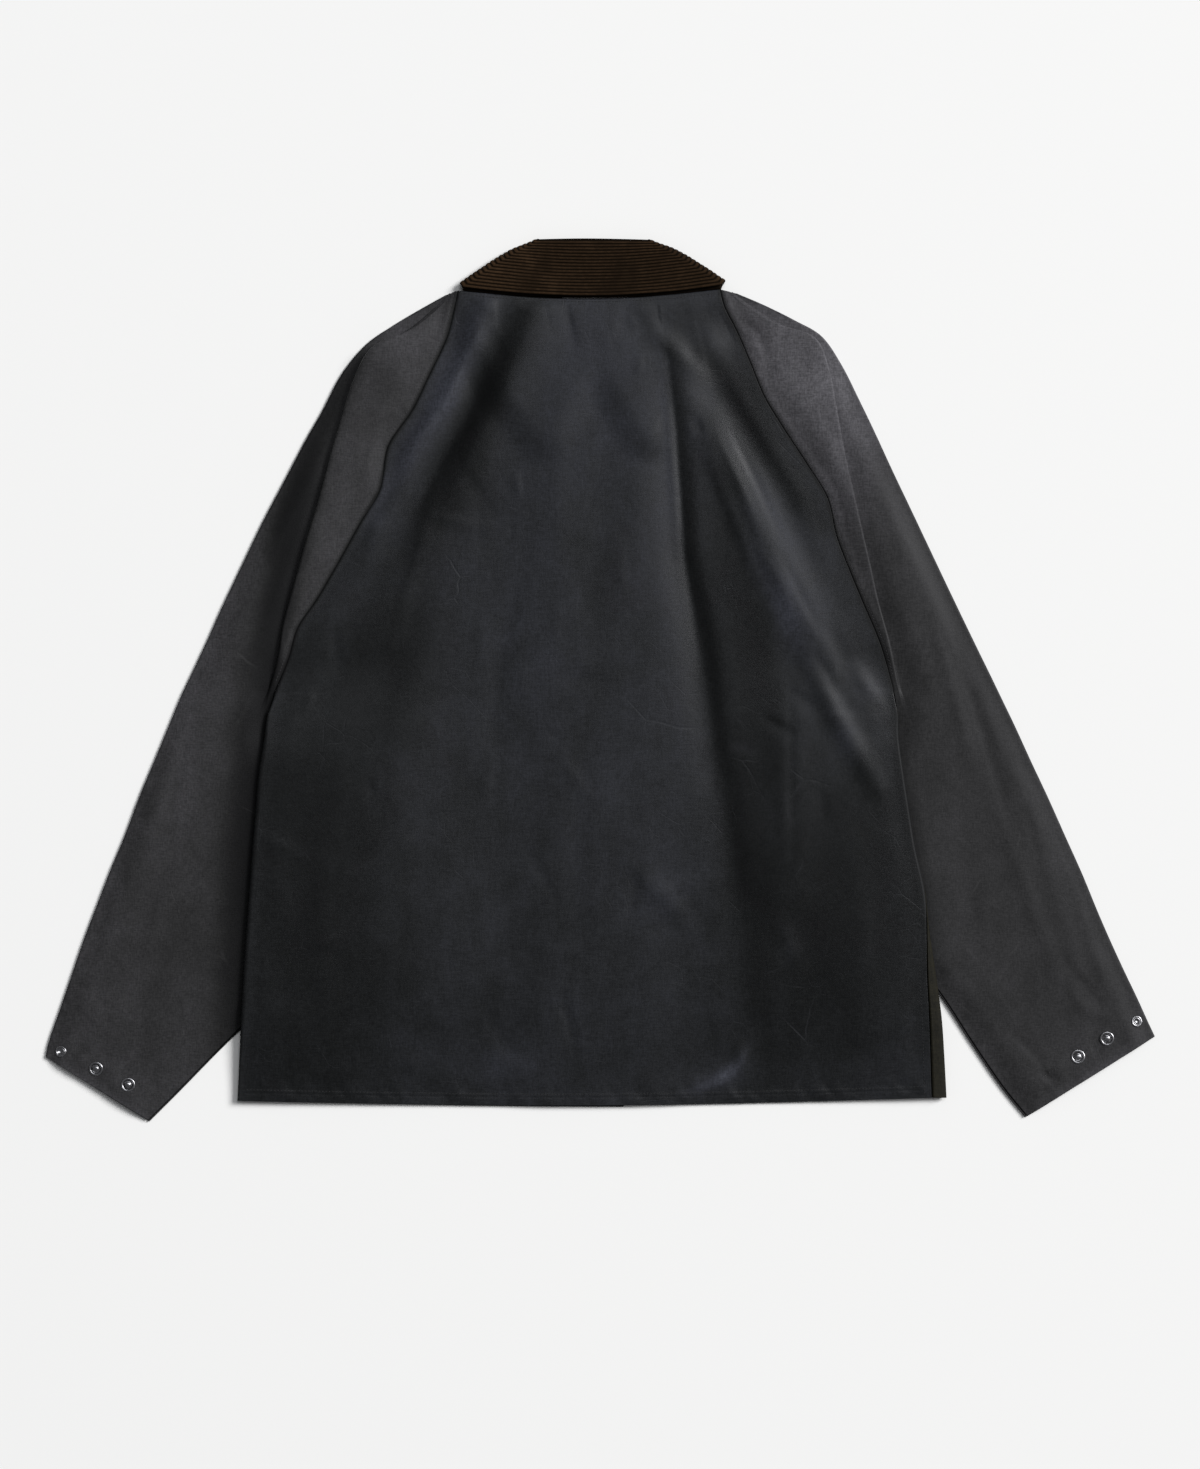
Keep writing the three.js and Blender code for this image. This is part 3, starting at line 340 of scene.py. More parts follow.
def smooth(amount):
    """Ease from 0 to 1: three squares less two cubes of the amount, held between 0 and 1."""
    held = np.clip(amount, 0.0, 1.0)
    return held * held * (3.0 - 2.0 * held)


def lerp(start, end, amount):
    """The value that lies the given amount of the way from start to end."""
    return start + (end - start) * amount


def unit(vectors):
    """Vectors of length 1 along the last axis."""
    return vectors / np.maximum(np.linalg.norm(vectors, axis=-1, keepdims=True), 1e-9)


def follow(values, where):
    """A smooth curve through rows of values, read at fractional row numbers: each stretch is the
    cubic whose slopes at its ends are half the difference of the neighbouring rows."""
    values = np.asarray(values, float)
    where = np.asarray(where, float)
    start = np.clip(np.floor(where).astype(int), 0, len(values) - 2)
    part = (where - start).reshape((-1,) + (1,) * (values.ndim - 1))
    before, after = np.maximum(start - 1, 0), np.minimum(start + 2, len(values) - 1)
    a, b, c, d = values[before], values[start], values[start + 1], values[after]
    slope_b, slope_c = (c - a) / 2, (d - b) / 2
    cube, square = part**3, part**2
    return (
        (2 * cube - 3 * square + 1) * b
        + (cube - 2 * square + part) * slope_b
        + (3 * square - 2 * cube) * c
        + (cube - square) * slope_c
    )


def column(table, names, *wanted):
    """The wanted columns of a table, as an array with a row for each row of the table."""
    rows = np.asarray(table, float)
    return rows[:, [names.index(name) for name in wanted]]


def to_line(x, y, points):
    """Distance to a line of points, how far along it from 0 to 1, and the side, 1 or -1."""
    best = np.full(np.shape(x), 1e9)
    along = np.zeros(np.shape(x))
    side = np.ones(np.shape(x))
    spans = len(points) - 1
    for index in range(spans):
        (ax, ay), (bx, by) = points[index], points[index + 1]
        dx, dy = bx - ax, by - ay
        part = np.clip(((x - ax) * dx + (y - ay) * dy) / (dx * dx + dy * dy), 0, 1)
        away = np.hypot(x - ax - dx * part, y - ay - dy * part)
        nearer = away < best
        best = np.where(nearer, away, best)
        along = np.where(nearer, (index + part) / spans, along)
        side = np.where(nearer, np.where(dx * (y - ay) - dy * (x - ax) > 0, 1.0, -1.0), side)
    return best, along, side


def outside(outline, x, y):
    """Distance outside a closed outline, and 0 inside it, by counting the edges to the right."""
    inside = np.zeros(np.shape(x), bool)
    closed = list(outline) + [outline[0]]
    for (ax, ay), (bx, by) in zip(closed[:-1], closed[1:]):
        if ay == by:
            continue
        crosses = (ay > y) != (by > y)
        inside ^= crosses & (x < ax + (y - ay) * (bx - ax) / (by - ay))
    return np.where(inside, 0.0, to_line(x, y, closed)[0])


def cover(outline, x, y, margin, reach):
    """1 over an outline and up to margin around it, then falling smoothly to 0 within reach."""
    return 1 - smooth((outside(outline, x, y) - margin) / reach)


def fold_height(folds, x, y):
    """The sum of rounded ridges and troughs: each is a bell curve of the distance from its line,
    narrower on the flank that it leans to, and fades out towards both ends."""
    height = np.zeros(np.shape(x))
    for half, rise, lean, points in folds:
        away, along, side = to_line(x, y, points)
        fade = 0.25 + 0.75 * np.sin(np.pi * np.clip(along, 0.04, 0.96))
        width = half * (1 + lean * side * 0.6)
        height += rise * fade * np.exp(-((away / width) ** 2))
    return height


def drift(x, y, size, seed):
    """Smooth noise between -1 and 1: random numbers on a lattice of the given cell sizes, eased
    from each lattice point to the next in both directions."""
    numbers = np.random.default_rng(seed).uniform(-1, 1, (97, 89))
    u, v = x / size[0] + 500.0, y / size[1] + 500.0
    i, j = np.floor(u).astype(int), np.floor(v).astype(int)
    s, t = smooth(u - i), smooth(v - j)
    i0, i1, j0, j1 = i % 97, (i + 1) % 97, j % 89, (j + 1) % 89
    low = lerp(numbers[i0, j0], numbers[i1, j0], s)
    high = lerp(numbers[i0, j1], numbers[i1, j1], s)
    return lerp(low, high, t)


def handling_creases(x, y, box, count, seed):
    """Short straight creases left by folding and handling: each is a narrow ridge or trough with
    one steep flank, whose height is a half sine of the way along it, at a seeded place, angle and
    length inside the box."""
    random = np.random.default_rng(seed)
    height = np.zeros(np.shape(x))
    for _ in range(count):
        ax, ay = random.uniform(box[0], box[1]), random.uniform(box[2], box[3])
        angle = random.normal(np.pi / 2, 0.7)
        length, half = random.uniform(18, 75), random.uniform(2.2, 5.5)
        rise = random.normal(0, 0.30)
        bx, by = ax + length * np.cos(angle), ay + length * np.sin(angle)
        near = (np.abs(x - (ax + bx) / 2) < length) & (np.abs(y - (ay + by) / 2) < length)
        away, along, side = to_line(x[near], y[near], ((ax, ay), (bx, by)))
        width = half * np.where(side > 0, 1.7, 0.7)
        height[near] += rise * np.sin(np.pi * np.clip(along, 0, 1)) * np.exp(-((away / width) ** 2))
    return height


def crumple(x, y, seed):
    """Slow swells of the cloth and its short handling creases."""
    swell = 0.30 * drift(x, y, (70, 150), seed) + 0.10 * drift(x, y, (27, 50), seed + 1)
    box = (np.min(x), np.max(x), np.min(y), np.max(y))
    return swell + handling_creases(x, y, box, 130, seed + 2)


class Side:
    """One half of the garment: its tables, and 1 or -1 for the way to the middle."""

    def __init__(self, raglan, arm, side, collar, inward, loft, puff, seam_dip):
        self.inward, self.loft, self.puff, self.seam_dip = inward, loft, puff, seam_dip
        self.back = column(raglan, RAGLAN_COLUMNS, "back_x", "back_y")
        self.front = column(raglan, RAGLAN_COLUMNS, "front_x", "front_y")
        self.raglan_outer = column(raglan, RAGLAN_COLUMNS, "outer_x", "outer_y")
        self.shoulder = column(raglan, RAGLAN_COLUMNS, "fold", "turn", "tuck")
        self.lift = column(raglan, RAGLAN_COLUMNS, "lift")[:, 0]
        self.under = column(arm, ARM_COLUMNS, "under_x", "under_y")
        self.arm_outer = column(arm, ARM_COLUMNS, "outer_x", "outer_y")
        self.edge = column(side, SIDE_COLUMNS, "edge_x", "edge_y")
        self.wrap = column(side, SIDE_COLUMNS, "wrap")[:, 0]
        self.collar = np.array([COLLAR[name] for name in collar], float)
        self.armpit = self.back[-1]
        self.outline = [tuple(p) for p in (self.armpit, *self.under, *self.arm_outer[::-1])]
        self.collar_under = [tuple(p) for p in (*self.collar[:, 2], *self.collar[::-1, 1])]


LEFT = Side(LEFT_RAGLAN, LEFT_ARM, LEFT_SIDE, ("left_front", "left_side", "left_corner"), 1, 4.5, 5.0, 0.8)
RIGHT = Side(RIGHT_RAGLAN, RIGHT_ARM, RIGHT_SIDE, ("right_front", "right_side", "right_corner"), -1, 1.8, 1.6, 0.0)
ARMPIT_ROW = len(LEFT_RAGLAN) - 1
LAST_ROW = ARMPIT_ROW + len(LEFT_SIDE)


def collar_rise(x, y):
    """Lift of what lies on the collar's turned-down front parts."""
    left, right = (cover(side.collar_under, x, y, 3, 30) for side in (LEFT, RIGHT))
    return FRONT_OVER_COLLAR * (left + right - left * right)


def sleeve_rise(x, y, reach):
    """Lift of the body over the sleeves, starting at the armpits and falling within the reach."""
    most = np.zeros(np.shape(x))
    for side in (LEFT, RIGHT):
        started = smooth((side.armpit[1] + ARMPIT_EARLY - y) / 60)
        most = np.maximum(most, started * cover(side.outline, x, y, 14, reach))
    return BODY_OVER_SLEEVE * most


def lap_rise(x, reach):
    """Lift over the lap of the two fronts at the centre."""
    return LAP_RISE * (1 - smooth((np.abs(x) - LAP_HALF - 12) / reach))


def front_height(x, y, reach=60):
    """Height of the middle of the fronts' cloth."""
    return LOWEST + collar_rise(x, y) + sleeve_rise(x, y, reach)


def side_puff(x, y):
    """Lift of the back beside its side folds, where the cloth turns over to the fronts, fading out
    to the armpit and the hem."""
    most = np.zeros(np.shape(x))
    for side in (LEFT, RIGHT):
        away = to_line(x, y, side.edge)[0]
        between = smooth((side.armpit[1] - y) / 60) * smooth((y - side.edge[-1, 1]) / 80)
        most = np.maximum(most, side.puff * np.exp(-((away / 45) ** 2)) * between)
    return most


def back_height(x, y):
    """Height of the middle of the back's cloth before its own folds."""
    return front_height(x, y, 170) + LAYER + lap_rise(x, 60) + side_puff(x, y)


def round_edge(length, radius):
    """Outward and upward place along a rounded edge, by length of cloth from its bottom: straight
    out, round by half a circle of the radius and straight back in."""
    angle = np.clip(length / radius, 0, np.pi)
    beyond = np.maximum(length - np.pi * radius, 0)
    out = np.minimum(length, 0) + radius * np.sin(angle) - beyond
    return out, radius * (1 - np.cos(angle))


def split_follow(upper, lower, where):
    """Two smooth curves that meet at the armpit row, read at row numbers over both."""
    first = where <= ARMPIT_ROW
    joined = np.concatenate([upper[-1:], lower])
    return np.concatenate([follow(upper, where[first]), follow(joined, where[~first] - ARMPIT_ROW)])


def wall_mesh(name, grid, thickness, turned=1, raised=None):
    """A closed wall about a grid of middle points: each point moves half the thickness along the
    grid's normal to both sides, and four rims join the two faces. Returns the new object."""
    normal = unit(np.cross(np.gradient(grid, axis=1), np.gradient(grid, axis=0))) * turned
    top = thickness / 2 + (0 if raised is None else raised[..., None])
    faces_out, faces_in = grid + normal * top, grid - normal * thickness / 2
    points = (np.concatenate([faces_out.reshape(-1, 3), faces_in.reshape(-1, 3)]) + CENTRING) * MM
    points[:, 2] = np.maximum(points[:, 2], 0)
    rows, columns = grid.shape[:2]
    index = np.arange(rows * columns).reshape(rows, columns)
    outer = np.stack([index[:-1, :-1], index[:-1, 1:], index[1:, 1:], index[1:, :-1]], -1).reshape(-1, 4)
    inner = outer[:, ::-1] + rows * columns
    rims = []
    for edge in (index[0, :], index[:, -1], index[-1, ::-1], index[::-1, 0]):
        back = edge + rows * columns
        rims.append(np.stack([edge[1:], edge[:-1], back[:-1], back[1:]], -1))
    quads = np.concatenate([outer, inner, *rims])
    if turned < 0:
        quads = quads[:, ::-1]
    mesh = bpy.data.meshes.new(name)
    mesh.from_pydata(points.tolist(), [], quads.tolist())
    shading = np.ones(len(quads), bool)
    shading[2 * len(outer):] = False
    mesh.polygons.foreach_set("use_smooth", shading)
    mesh.validate()
    piece = bpy.data.objects.new(name, mesh)
    bpy.context.scene.collection.objects.link(piece)
    return piece


def add_map(piece, u, v):
    """A UV map from two grids of lengths in metres, the same on both faces of a wall."""
    mesh = piece.data
    both = np.concatenate([np.stack([u, v], -1).reshape(-1, 2)] * 2)
    corners = np.empty(len(mesh.loops), np.int32)
    mesh.loops.foreach_get("vertex_index", corners)
    layer = mesh.uv_layers.new(name="cloth")
    layer.data.foreach_set("uv", both[corners].astype(np.float32).ravel())


def wax_and_light_amount(patches, x, y):
    """Sum of soft patches: each is its amount times a bell curve of the distance from its middle,
    measured in its radii, with an edge broken up by slow noise."""
    amount = 0.25 * drift(x, y, (60, 110), 61) + 0.15 * drift(x, y, (22, 40), 62)
    wobble = 1 + 0.3 * drift(x, y, (35, 50), 63)
    for middle_x, middle_y, across, along, most in patches:
        away = ((x - middle_x) / across) ** 2 + ((y - middle_y) / along) ** 2
        amount = amount + most * np.exp(-away * wobble)
    return amount


def add_wax_and_painted_light(piece, grid, patches, lines=()):
    """Stores the wax's amount, with the painted highlight and painted shade of the patches and lines,
    as an attribute, the same on both faces of a wall. It is lowest along the raglan seams, as painted
    shade in their grooves. A second attribute is 1 on the seams and the side edges, where dust in the wax makes it
    matt."""
    x, y = grid[..., 0], grid[..., 1]
    amount = wax_and_light_amount(patches, x, y) + fold_height(lines, x, y)
    matt = np.zeros(x.shape)
    for side in (LEFT, RIGHT):
        seam = np.exp(-((to_line(x, y, side.back)[0] / 1.7) ** 2))
        edge = np.exp(-((to_line(x, y, side.edge)[0] / 3.0) ** 2))
        # Painted shade in the raglan seams' grooves.
        amount -= 2.4 * seam
        matt = np.maximum(matt, np.maximum(seam, edge))
    for label, values in (("wax", amount.ravel()), ("matt", matt.ravel())):
        layer = piece.data.attributes.new(label, "FLOAT", "POINT")
        layer.data.foreach_set("value", np.concatenate([values, values]).astype(np.float32))


def fold_path(turn, tuck, segments):
    """Places through the shoulder fold, in sections with their own angles: a bend down by the
    angle, the tucked cloth straight on, and a bend back. Also returns how far the fold reaches
    out past its start."""
    angle = np.maximum(np.radians(turn), 0.02)[:, None]
    tuck = tuck[:, None]
    radius = np.maximum(FOLD_RADIUS, LEAST_ARC / angle)
    parts = np.arange(1, segments + 1)[None, :] / segments
    down_out = radius * np.sin(angle * parts)
    down_up = -radius * (1 - np.cos(angle * parts))
    run = np.array([0.5, 1.0])[None, :]
    run_out = down_out[:, -1:] + tuck * run * np.cos(angle)
    run_up = down_up[:, -1:] - tuck * run * np.sin(angle)
    left = angle * (1 - parts)
    back_out = run_out[:, -1:] + radius * (np.sin(angle) - np.sin(left))
    back_up = run_up[:, -1:] - radius * (np.cos(left) - np.cos(angle))
    steep = np.minimum(angle, np.pi / 2)
    lead = (radius * np.sin(steep) + tuck / 2 * np.cos(steep))[:, 0]
    out = np.concatenate([down_out, run_out, back_out], axis=1)
    return out, np.concatenate([down_up, run_up, back_up], axis=1), lead


BAND_POINTS, TOP_POINTS, FOLD_SEGMENTS, LOWER_POINTS = 13, 15, 6, 44
EDGE_SEGMENTS, BOTTOM_POINTS = 8, 16


def sleeve_sections(side):
    """Sections of a sleeve at the tables' rows, and a weight from 0 at the seams and edges to 1
    on open cloth. Each goes from the back edge over the top, through the shoulder fold, round the
    outline by half a circle and back underneath to the front edge."""
    arms = len(side.under)
    is_arm = np.concatenate([np.zeros(len(side.back), bool), np.ones(arms, bool)])
    rim = FOLD_RADIUS + CLOTH / 2
    under = side.under + unit(side.arm_outer - side.under) * rim
    start = np.concatenate([side.back, under])
    end = np.concatenate([side.front, under])
    outer = np.concatenate([side.raglan_outer, side.arm_outer])
    top_way, bottom_way = unit(outer - start), unit(outer - end)
    out_way = unit(top_way + bottom_way)
    centre = outer - out_way * rim
    width = np.linalg.norm(centre - start, axis=1)
    shoulder = np.concatenate([side.shoulder, np.tile([0.0, 0.0, 3.0], (arms, 1))])
    fold_out, fold_up, lead = fold_path(shoulder[:, 1], shoulder[:, 2], FOLD_SEGMENTS)
    share = np.concatenate([np.zeros(len(side.back)), [0.09, 0.15, 0.21, 0.26], np.full(arms - 4, 0.3)])
    fold_at = np.where(is_arm, share * width, shoulder[:, 0]) - lead

    def low(place):
        return LOWEST + collar_rise(place[..., 0], place[..., 1])

    def on_top(along):
        return start[:, None] + top_way[:, None] * along[..., None]

    lower_start = low(start) + LAYER
    lift = np.concatenate([side.lift, np.zeros(arms)])
    upper = low(start + top_way * fold_at[:, None]) + LAYER - fold_up[:, -1]
    first = np.where(is_arm, ROUND_SEAM_GAP, SEAM_GAP)[:, None] / 2
    near = np.minimum(11.0, 0.6 * fold_at)[:, None]
    band = lerp(first, near, np.linspace(0, 1, BAND_POINTS)[None])
    rest = lerp(near, fold_at[:, None], np.linspace(0, 1, TOP_POINTS + 1)[None, 1:])
    top_along = np.concatenate([band, rest], axis=1)
    level = lerp((lower_start + lift)[:, None], upper[:, None], smooth(top_along / fold_at[:, None]))
    pieces = [np.concatenate([on_top(top_along), level[..., None]], -1)]
    fold_along = fold_at[:, None] + fold_out
    pieces.append(np.concatenate([on_top(fold_along), (upper[:, None] + fold_up)[..., None]], -1))
    parts = np.linspace(0, 1, LOWER_POINTS + 1)[None, 1:]
    lower_along = lerp(fold_along[:, -1:], width[:, None], parts)
    place = on_top(lower_along)
    place[:, -1] = centre
    pieces.append(np.concatenate([place, (low(place) + LAYER)[..., None]], -1))
    half = np.pi * FOLD_RADIUS
    turn = np.linspace(1, 0, EDGE_SEGMENTS + 1)[1:]
    out, up = round_edge(half * turn, FOLD_RADIUS)
    place = centre[:, None] + out_way[:, None] * out[None, :, None]
    pieces.append(np.concatenate([place, (low(centre)[:, None] + up[None])[..., None]], -1))
    in_way = unit(end - centre)
    bottom = np.linalg.norm(end - centre, axis=1) - np.where(is_arm, 0, half)
    place = centre[:, None] + in_way[:, None] * (bottom[:, None] * np.linspace(0, 1, BOTTOM_POINTS + 1)[None, 1:])[..., None]
    pieces.append(np.concatenate([place, low(place)[..., None]], -1))
    closing = (half - ROUND_SEAM_GAP / 2) * np.linspace(0, 1, EDGE_SEGMENTS + 1)[None, 1:]
    out, up = round_edge(closing, FOLD_RADIUS)
    out, up = np.where(is_arm[:, None], out, closing), np.where(is_arm[:, None], up, 0)
    place = centre[:, None] + in_way[:, None] * (bottom[:, None] + out)[..., None]
    base = np.where(is_arm[:, None], low(end)[:, None], low(place))
    pieces.append(np.concatenate([place, (base + up)[..., None]], -1))
    points = np.concatenate(pieces, axis=1)

    def ends(along):
        return np.clip(along / 12, 0, 1) * np.clip((width[:, None] - along) / 14, 0, 1)

    hidden = np.zeros((len(start), points.shape[1] - top_along.shape[1] - fold_along.shape[1] - LOWER_POINTS))
    weight = np.concatenate([ends(top_along), ends(fold_along), ends(lower_along), hidden], axis=1)
    beside = np.where(is_arm[:, None], lower_along, lower_along - fold_along[:, -1:])
    domed = SLEEVE_LOFT * smooth(beside / 24) * smooth((width[:, None] - lower_along) / 20)
    arm = is_arm[:, None] * 1.0
    near_seam = arm * SLEEVE_LOFT * smooth(top_along / 24)
    bulge = (1 - arm) * side.loft * smooth(top_along / 26) * smooth(fold_at[:, None] / 30)
    folded = arm * SLEEVE_LOFT * smooth(fold_along / 24)
    folded = folded + (1 - arm) * side.loft * smooth(fold_at[:, None] / 26) * smooth(fold_at[:, None] / 30)
    folded = folded * np.where(is_arm[:, None], 1, np.linspace(1, 0, fold_along.shape[1])[None])
    loft = np.concatenate([near_seam + bulge, folded, domed, hidden], axis=1)
    points[..., 2] += loft
    seam = np.concatenate([top_along, np.full((len(start), points.shape[1] - top_along.shape[1]), 99.0)], axis=1)
    return points, weight, seam, is_arm


def sleeve_surface(side, seed):
    """A sleeve's middle surface: its sections joined by smooth curves, with folds, small waves,
    the felled seam's band, and the cuff's turned-up hem added to the height of its upper cloth."""
    points, weight, seam, is_arm = sleeve_sections(side)
    last = len(points) - 1
    where = np.concatenate([
        np.linspace(0, ARMPIT_ROW, 92), np.linspace(ARMPIT_ROW, last - 1, 74)[1:],
        np.linspace(last - 1, last, 18)[1:],
    ])
    stacked = np.concatenate([points, weight[..., None], seam[..., None]], -1)
    fine = split_follow(stacked[: ARMPIT_ROW + 1], stacked[ARMPIT_ROW + 1:], where)
    grid, weight, seam = fine[..., :3].copy(), np.clip(fine[..., 3], 0, 1), fine[..., 4]
    x, y = grid[..., 0], grid[..., 1]
    folds = fold_height(SLEEVE_FOLDS, x, y) + fold_height(SLEEVE_CREASES, x, y)
    raglan = np.clip(ARMPIT_ROW - where, 0, 1)[:, None]
    felled = 0.4 * np.exp(-(((seam - 4.5) / 3.5) ** 2)) - SEAM_DIP * np.exp(-((seam / 0.9) ** 2))
    groove = np.exp(-(((seam - STITCH_IN) / 0.9) ** 2)) * raglan
    pucker = np.exp(-(((seam - 3.5) / 4.0) ** 2)) * drift(x, y, (5.5, 5.5), seed + 20) * raglan
    cuff = (tuple(side.arm_outer[-1]), tuple(side.under[-1]))
    from_cuff = to_line(x, y, cuff)[0]
    upper = (np.arange(grid.shape[1]) < grid.shape[1] - BOTTOM_POINTS - EDGE_SEGMENTS * 2)[None]
    hem = 1 - smooth((from_cuff - CUFF_BAND) / 1.6)
    line = np.exp(-(((from_cuff - CUFF_BAND + 2.2) / 0.9) ** 2))
    puckers = np.exp(-(((from_cuff - CUFF_BAND + 2) / 7) ** 2)) * drift(x, y, (6, 6), seed + 21)
    crumples = crumple(x, y, seed)
    crumples += 0.7 * drift(x, y, (10, 13), seed + 9) * smooth(1 - from_cuff / 70)
    grid[..., 2] += weight * (folds + 0.75 * crumples)
    grid[..., 2] += felled * raglan - 0.2 * groove + 0.3 * pucker
    grid[..., 2] += upper * weight * (0.35 * hem - 0.3 * line + 0.3 * puckers)
    return grid


def side_edge(side, where, lengths, over_armpit, upper):
    """Points round the body's side at row numbers below the armpit: lengths of cloth, measured
    from the bottom, go round an edge whose radius is half the height from front to back. upper is
    1 for the back, which keeps the lift of its raglan seam at first."""
    edges = follow(np.concatenate([side.armpit[None], side.edge]), where - ARMPIT_ROW)
    x, y = edges[:, 0], edges[:, 1]
    low = front_height(x, y)
    radius = (back_height(x, y) - low) / 2
    out, up = round_edge(lengths(radius), radius[:, None])
    place = x[:, None] + side.inward * (radius[:, None] + CLOTH / 2 - out)
    points = np.stack([place, np.broadcast_to(y[:, None], place.shape), low[:, None] + up], -1)
    points[..., 2] += (side.lift[-1] * (1 - smooth((where - ARMPIT_ROW) / SEAM_SLIDE)))[:, None] * upper
    joined = smooth(np.clip(where - ARMPIT_ROW, 0, 1))[:, None, None]
    return lerp(over_armpit, points, joined)


def seam_length(side, where, radius):
    """Length of cloth from the bottom of the side edge to the side seam."""
    wrap = follow(np.concatenate([[0.0], side.wrap]), where - ARMPIT_ROW)
    return np.pi / 2 * radius + np.maximum(wrap, 0)


EDGE_POINTS = 9


def back_edge(side, where):
    """The back's points at one side, from the seam inwards."""
    steps = np.linspace(0, 1, EDGE_POINTS)
    upper = where <= ARMPIT_ROW
    seam = follow(side.back, where[upper])
    lift = follow(side.lift, where[upper])
    level = front_height(seam[:, 0], seam[:, 1]) + LAYER + lift
    x = seam[:, :1] + side.inward * (SEAM_GAP / 2 + RAGLAN_EDGE_WIDTH * steps[None])
    y = np.broadcast_to(seam[:, 1:], x.shape)
    dip = side.seam_dip * np.exp(-(((SEAM_GAP / 2 + RAGLAN_EDGE_WIDTH * steps) / 0.9) ** 2))
    raglan = np.stack([x, y, level[:, None] - dip[None]], -1)
    below = where[~upper]

    def lengths(radius):
        slid = np.pi / 2 * (1 - smooth((below - ARMPIT_ROW) / SEAM_SLIDE)) * radius
        first = seam_length(side, below, radius) + slid + ROUND_SEAM_GAP / 2
        final = np.maximum(np.pi * radius, first + 3)
        return lerp(first[:, None], final[:, None], steps[None])

    return np.concatenate([raglan, side_edge(side, below, lengths, raglan[-1:], 1)])


HEM_ROWS = np.array([28, 24, 20, 17, 15, 13.5, 12.5, 11.5, 10.5, 9.6, 8.7, 7.5, 6, 4.5, 3, 1.6, 0.7, 0.0])
HEM_STRETCH = 34.4


def body_rows(upper, lower):
    """Row numbers from the neck to the hem, with rows at set distances above the hem."""
    hem = LAST_ROW - HEM_ROWS / HEM_STRETCH
    return np.concatenate([
        np.linspace(0, ARMPIT_ROW, upper), np.linspace(ARMPIT_ROW, hem[0], lower)[1:], hem[1:],
    ])


def back_surface():
    """The back's middle surface: rows between the two side seams, dipping at the neck and the hem,
    at the height of what lies below plus the seams' lift, large folds and small waves."""
    where = body_rows(100, 86)
    left, right = back_edge(LEFT, where), back_edge(RIGHT, where)[:, ::-1]
    start, end = left[:, -1], right[:, 0]
    down = where / LAST_ROW
    sag = (NECK_SAG * (1 - smooth(down * 4)) + HEM_SAG * smooth(down * 3 - 2))[:, None]
    parts = np.linspace(0, 1, 186)[None, 1:-1]
    x = lerp(start[:, :1], end[:, :1], parts)
    y = lerp(start[:, 1:2], end[:, 1:2], parts)
    first, final = left[:, :1, 0], right[:, -1:, 0]

    def dip(across):
        return sag * np.sin(np.pi * (across - first) / (final - first))

    y = y - dip(x)
    near = np.minimum(x - start[:, :1], end[:, :1] - x)
    rows = where[:, None]
    taper = smooth(near / 22) * smooth(rows / 0.9) * smooth((LAST_ROW + 1 - rows) / 3)
    left_lift = (start[:, 2] - back_height(start[:, 0], start[:, 1]))[:, None]
    right_lift = (end[:, 2] - back_height(end[:, 0], end[:, 1]))[:, None]
    z = back_height(x, y) + left_lift * (1 - smooth((x - start[:, :1]) / RAGLAN_REACH))
    z += right_lift * (1 - smooth((end[:, :1] - x) / RAGLAN_REACH))
    z += (fold_height(BACK_FOLDS, x, y) + BACK_LOFT) * taper
    z += BACK_PILLOW * smooth(near / 70) * smooth(rows / 6) * smooth((LAST_ROW - rows) / 3)
    inside = smooth(near / 10) * smooth(rows / 1.2)
    z += inside * (fold_height(BACK_CREASES, x, y) + crumple(x, y, 3))
    left[..., 1] -= dip(left[..., 0])
    right[..., 1] -= dip(right[..., 0])
    grid = np.concatenate([left, np.stack([x, y, z], -1), right], axis=1)
    top = grid[0]
    share = (top[:, 0] - top[0, 0]) / (top[-1, 0] - top[0, 0])
    wanted = COLLAR_MIDDLE + STAND_OUT - COLLAR_SAG * np.sin(np.pi * share) ** 2
    inner = np.ones(len(top))
    inner[:EDGE_POINTS] = inner[-EDGE_POINTS:] = 0
    away = top[None, :, 1] - grid[..., 1]
    grid[..., 2] += inner * (wanted - top[:, 2]) * (1 - smooth(away / NECK_REACH))
    x, y = grid[..., 0], grid[..., 1]
    from_hem = np.maximum(LAST_ROW - where, 0)[:, None] * HEM_STRETCH
    band = 1 - smooth((from_hem - HEM_BAND) / 1.4)
    groove = np.exp(-(((from_hem - HEM_BAND + 1.8) / 0.8) ** 2))
    slant = drift(x + from_hem * 0.7, from_hem + 0 * x, (7, 26), 41)
    puckers = np.exp(-(((from_hem - HEM_BAND) / 8) ** 2)) * slant
    grid[..., 2] += (0.2 * band - 0.15 * groove + 0.5 * puckers) * inner
    return grid


FRONT_STEPS = np.linspace(0, 1, EDGE_POINTS + 4)


def neck_height(side, x):
    """Place in Y of a front's neck edge at x: the collar's neck seam less a gap, and level past
    the centre. The seam is the quadratic curve through its three named places."""
    amount = np.linspace(0, 1, 200)
    seam = through(side.collar[:, 0], amount)
    order = np.argsort(seam[:, 0])
    height = np.interp(x, seam[order, 0], seam[order, 1]) - NECK_GAP
    return np.where((x - side.collar[0, 0, 0]) * side.inward >= 0, side.collar[0, 0, 1] - NECK_GAP, height)


def through(rows, amount):
    """The quadratic curve through three places, at amounts of the way from first to last."""
    first = 2 * (amount - 0.5) * (amount - 1)
    second = 4 * amount * (1 - amount)
    third = 2 * amount * (amount - 0.5)
    return first[:, None] * rows[0] + second[:, None] * rows[1] + third[:, None] * rows[2]


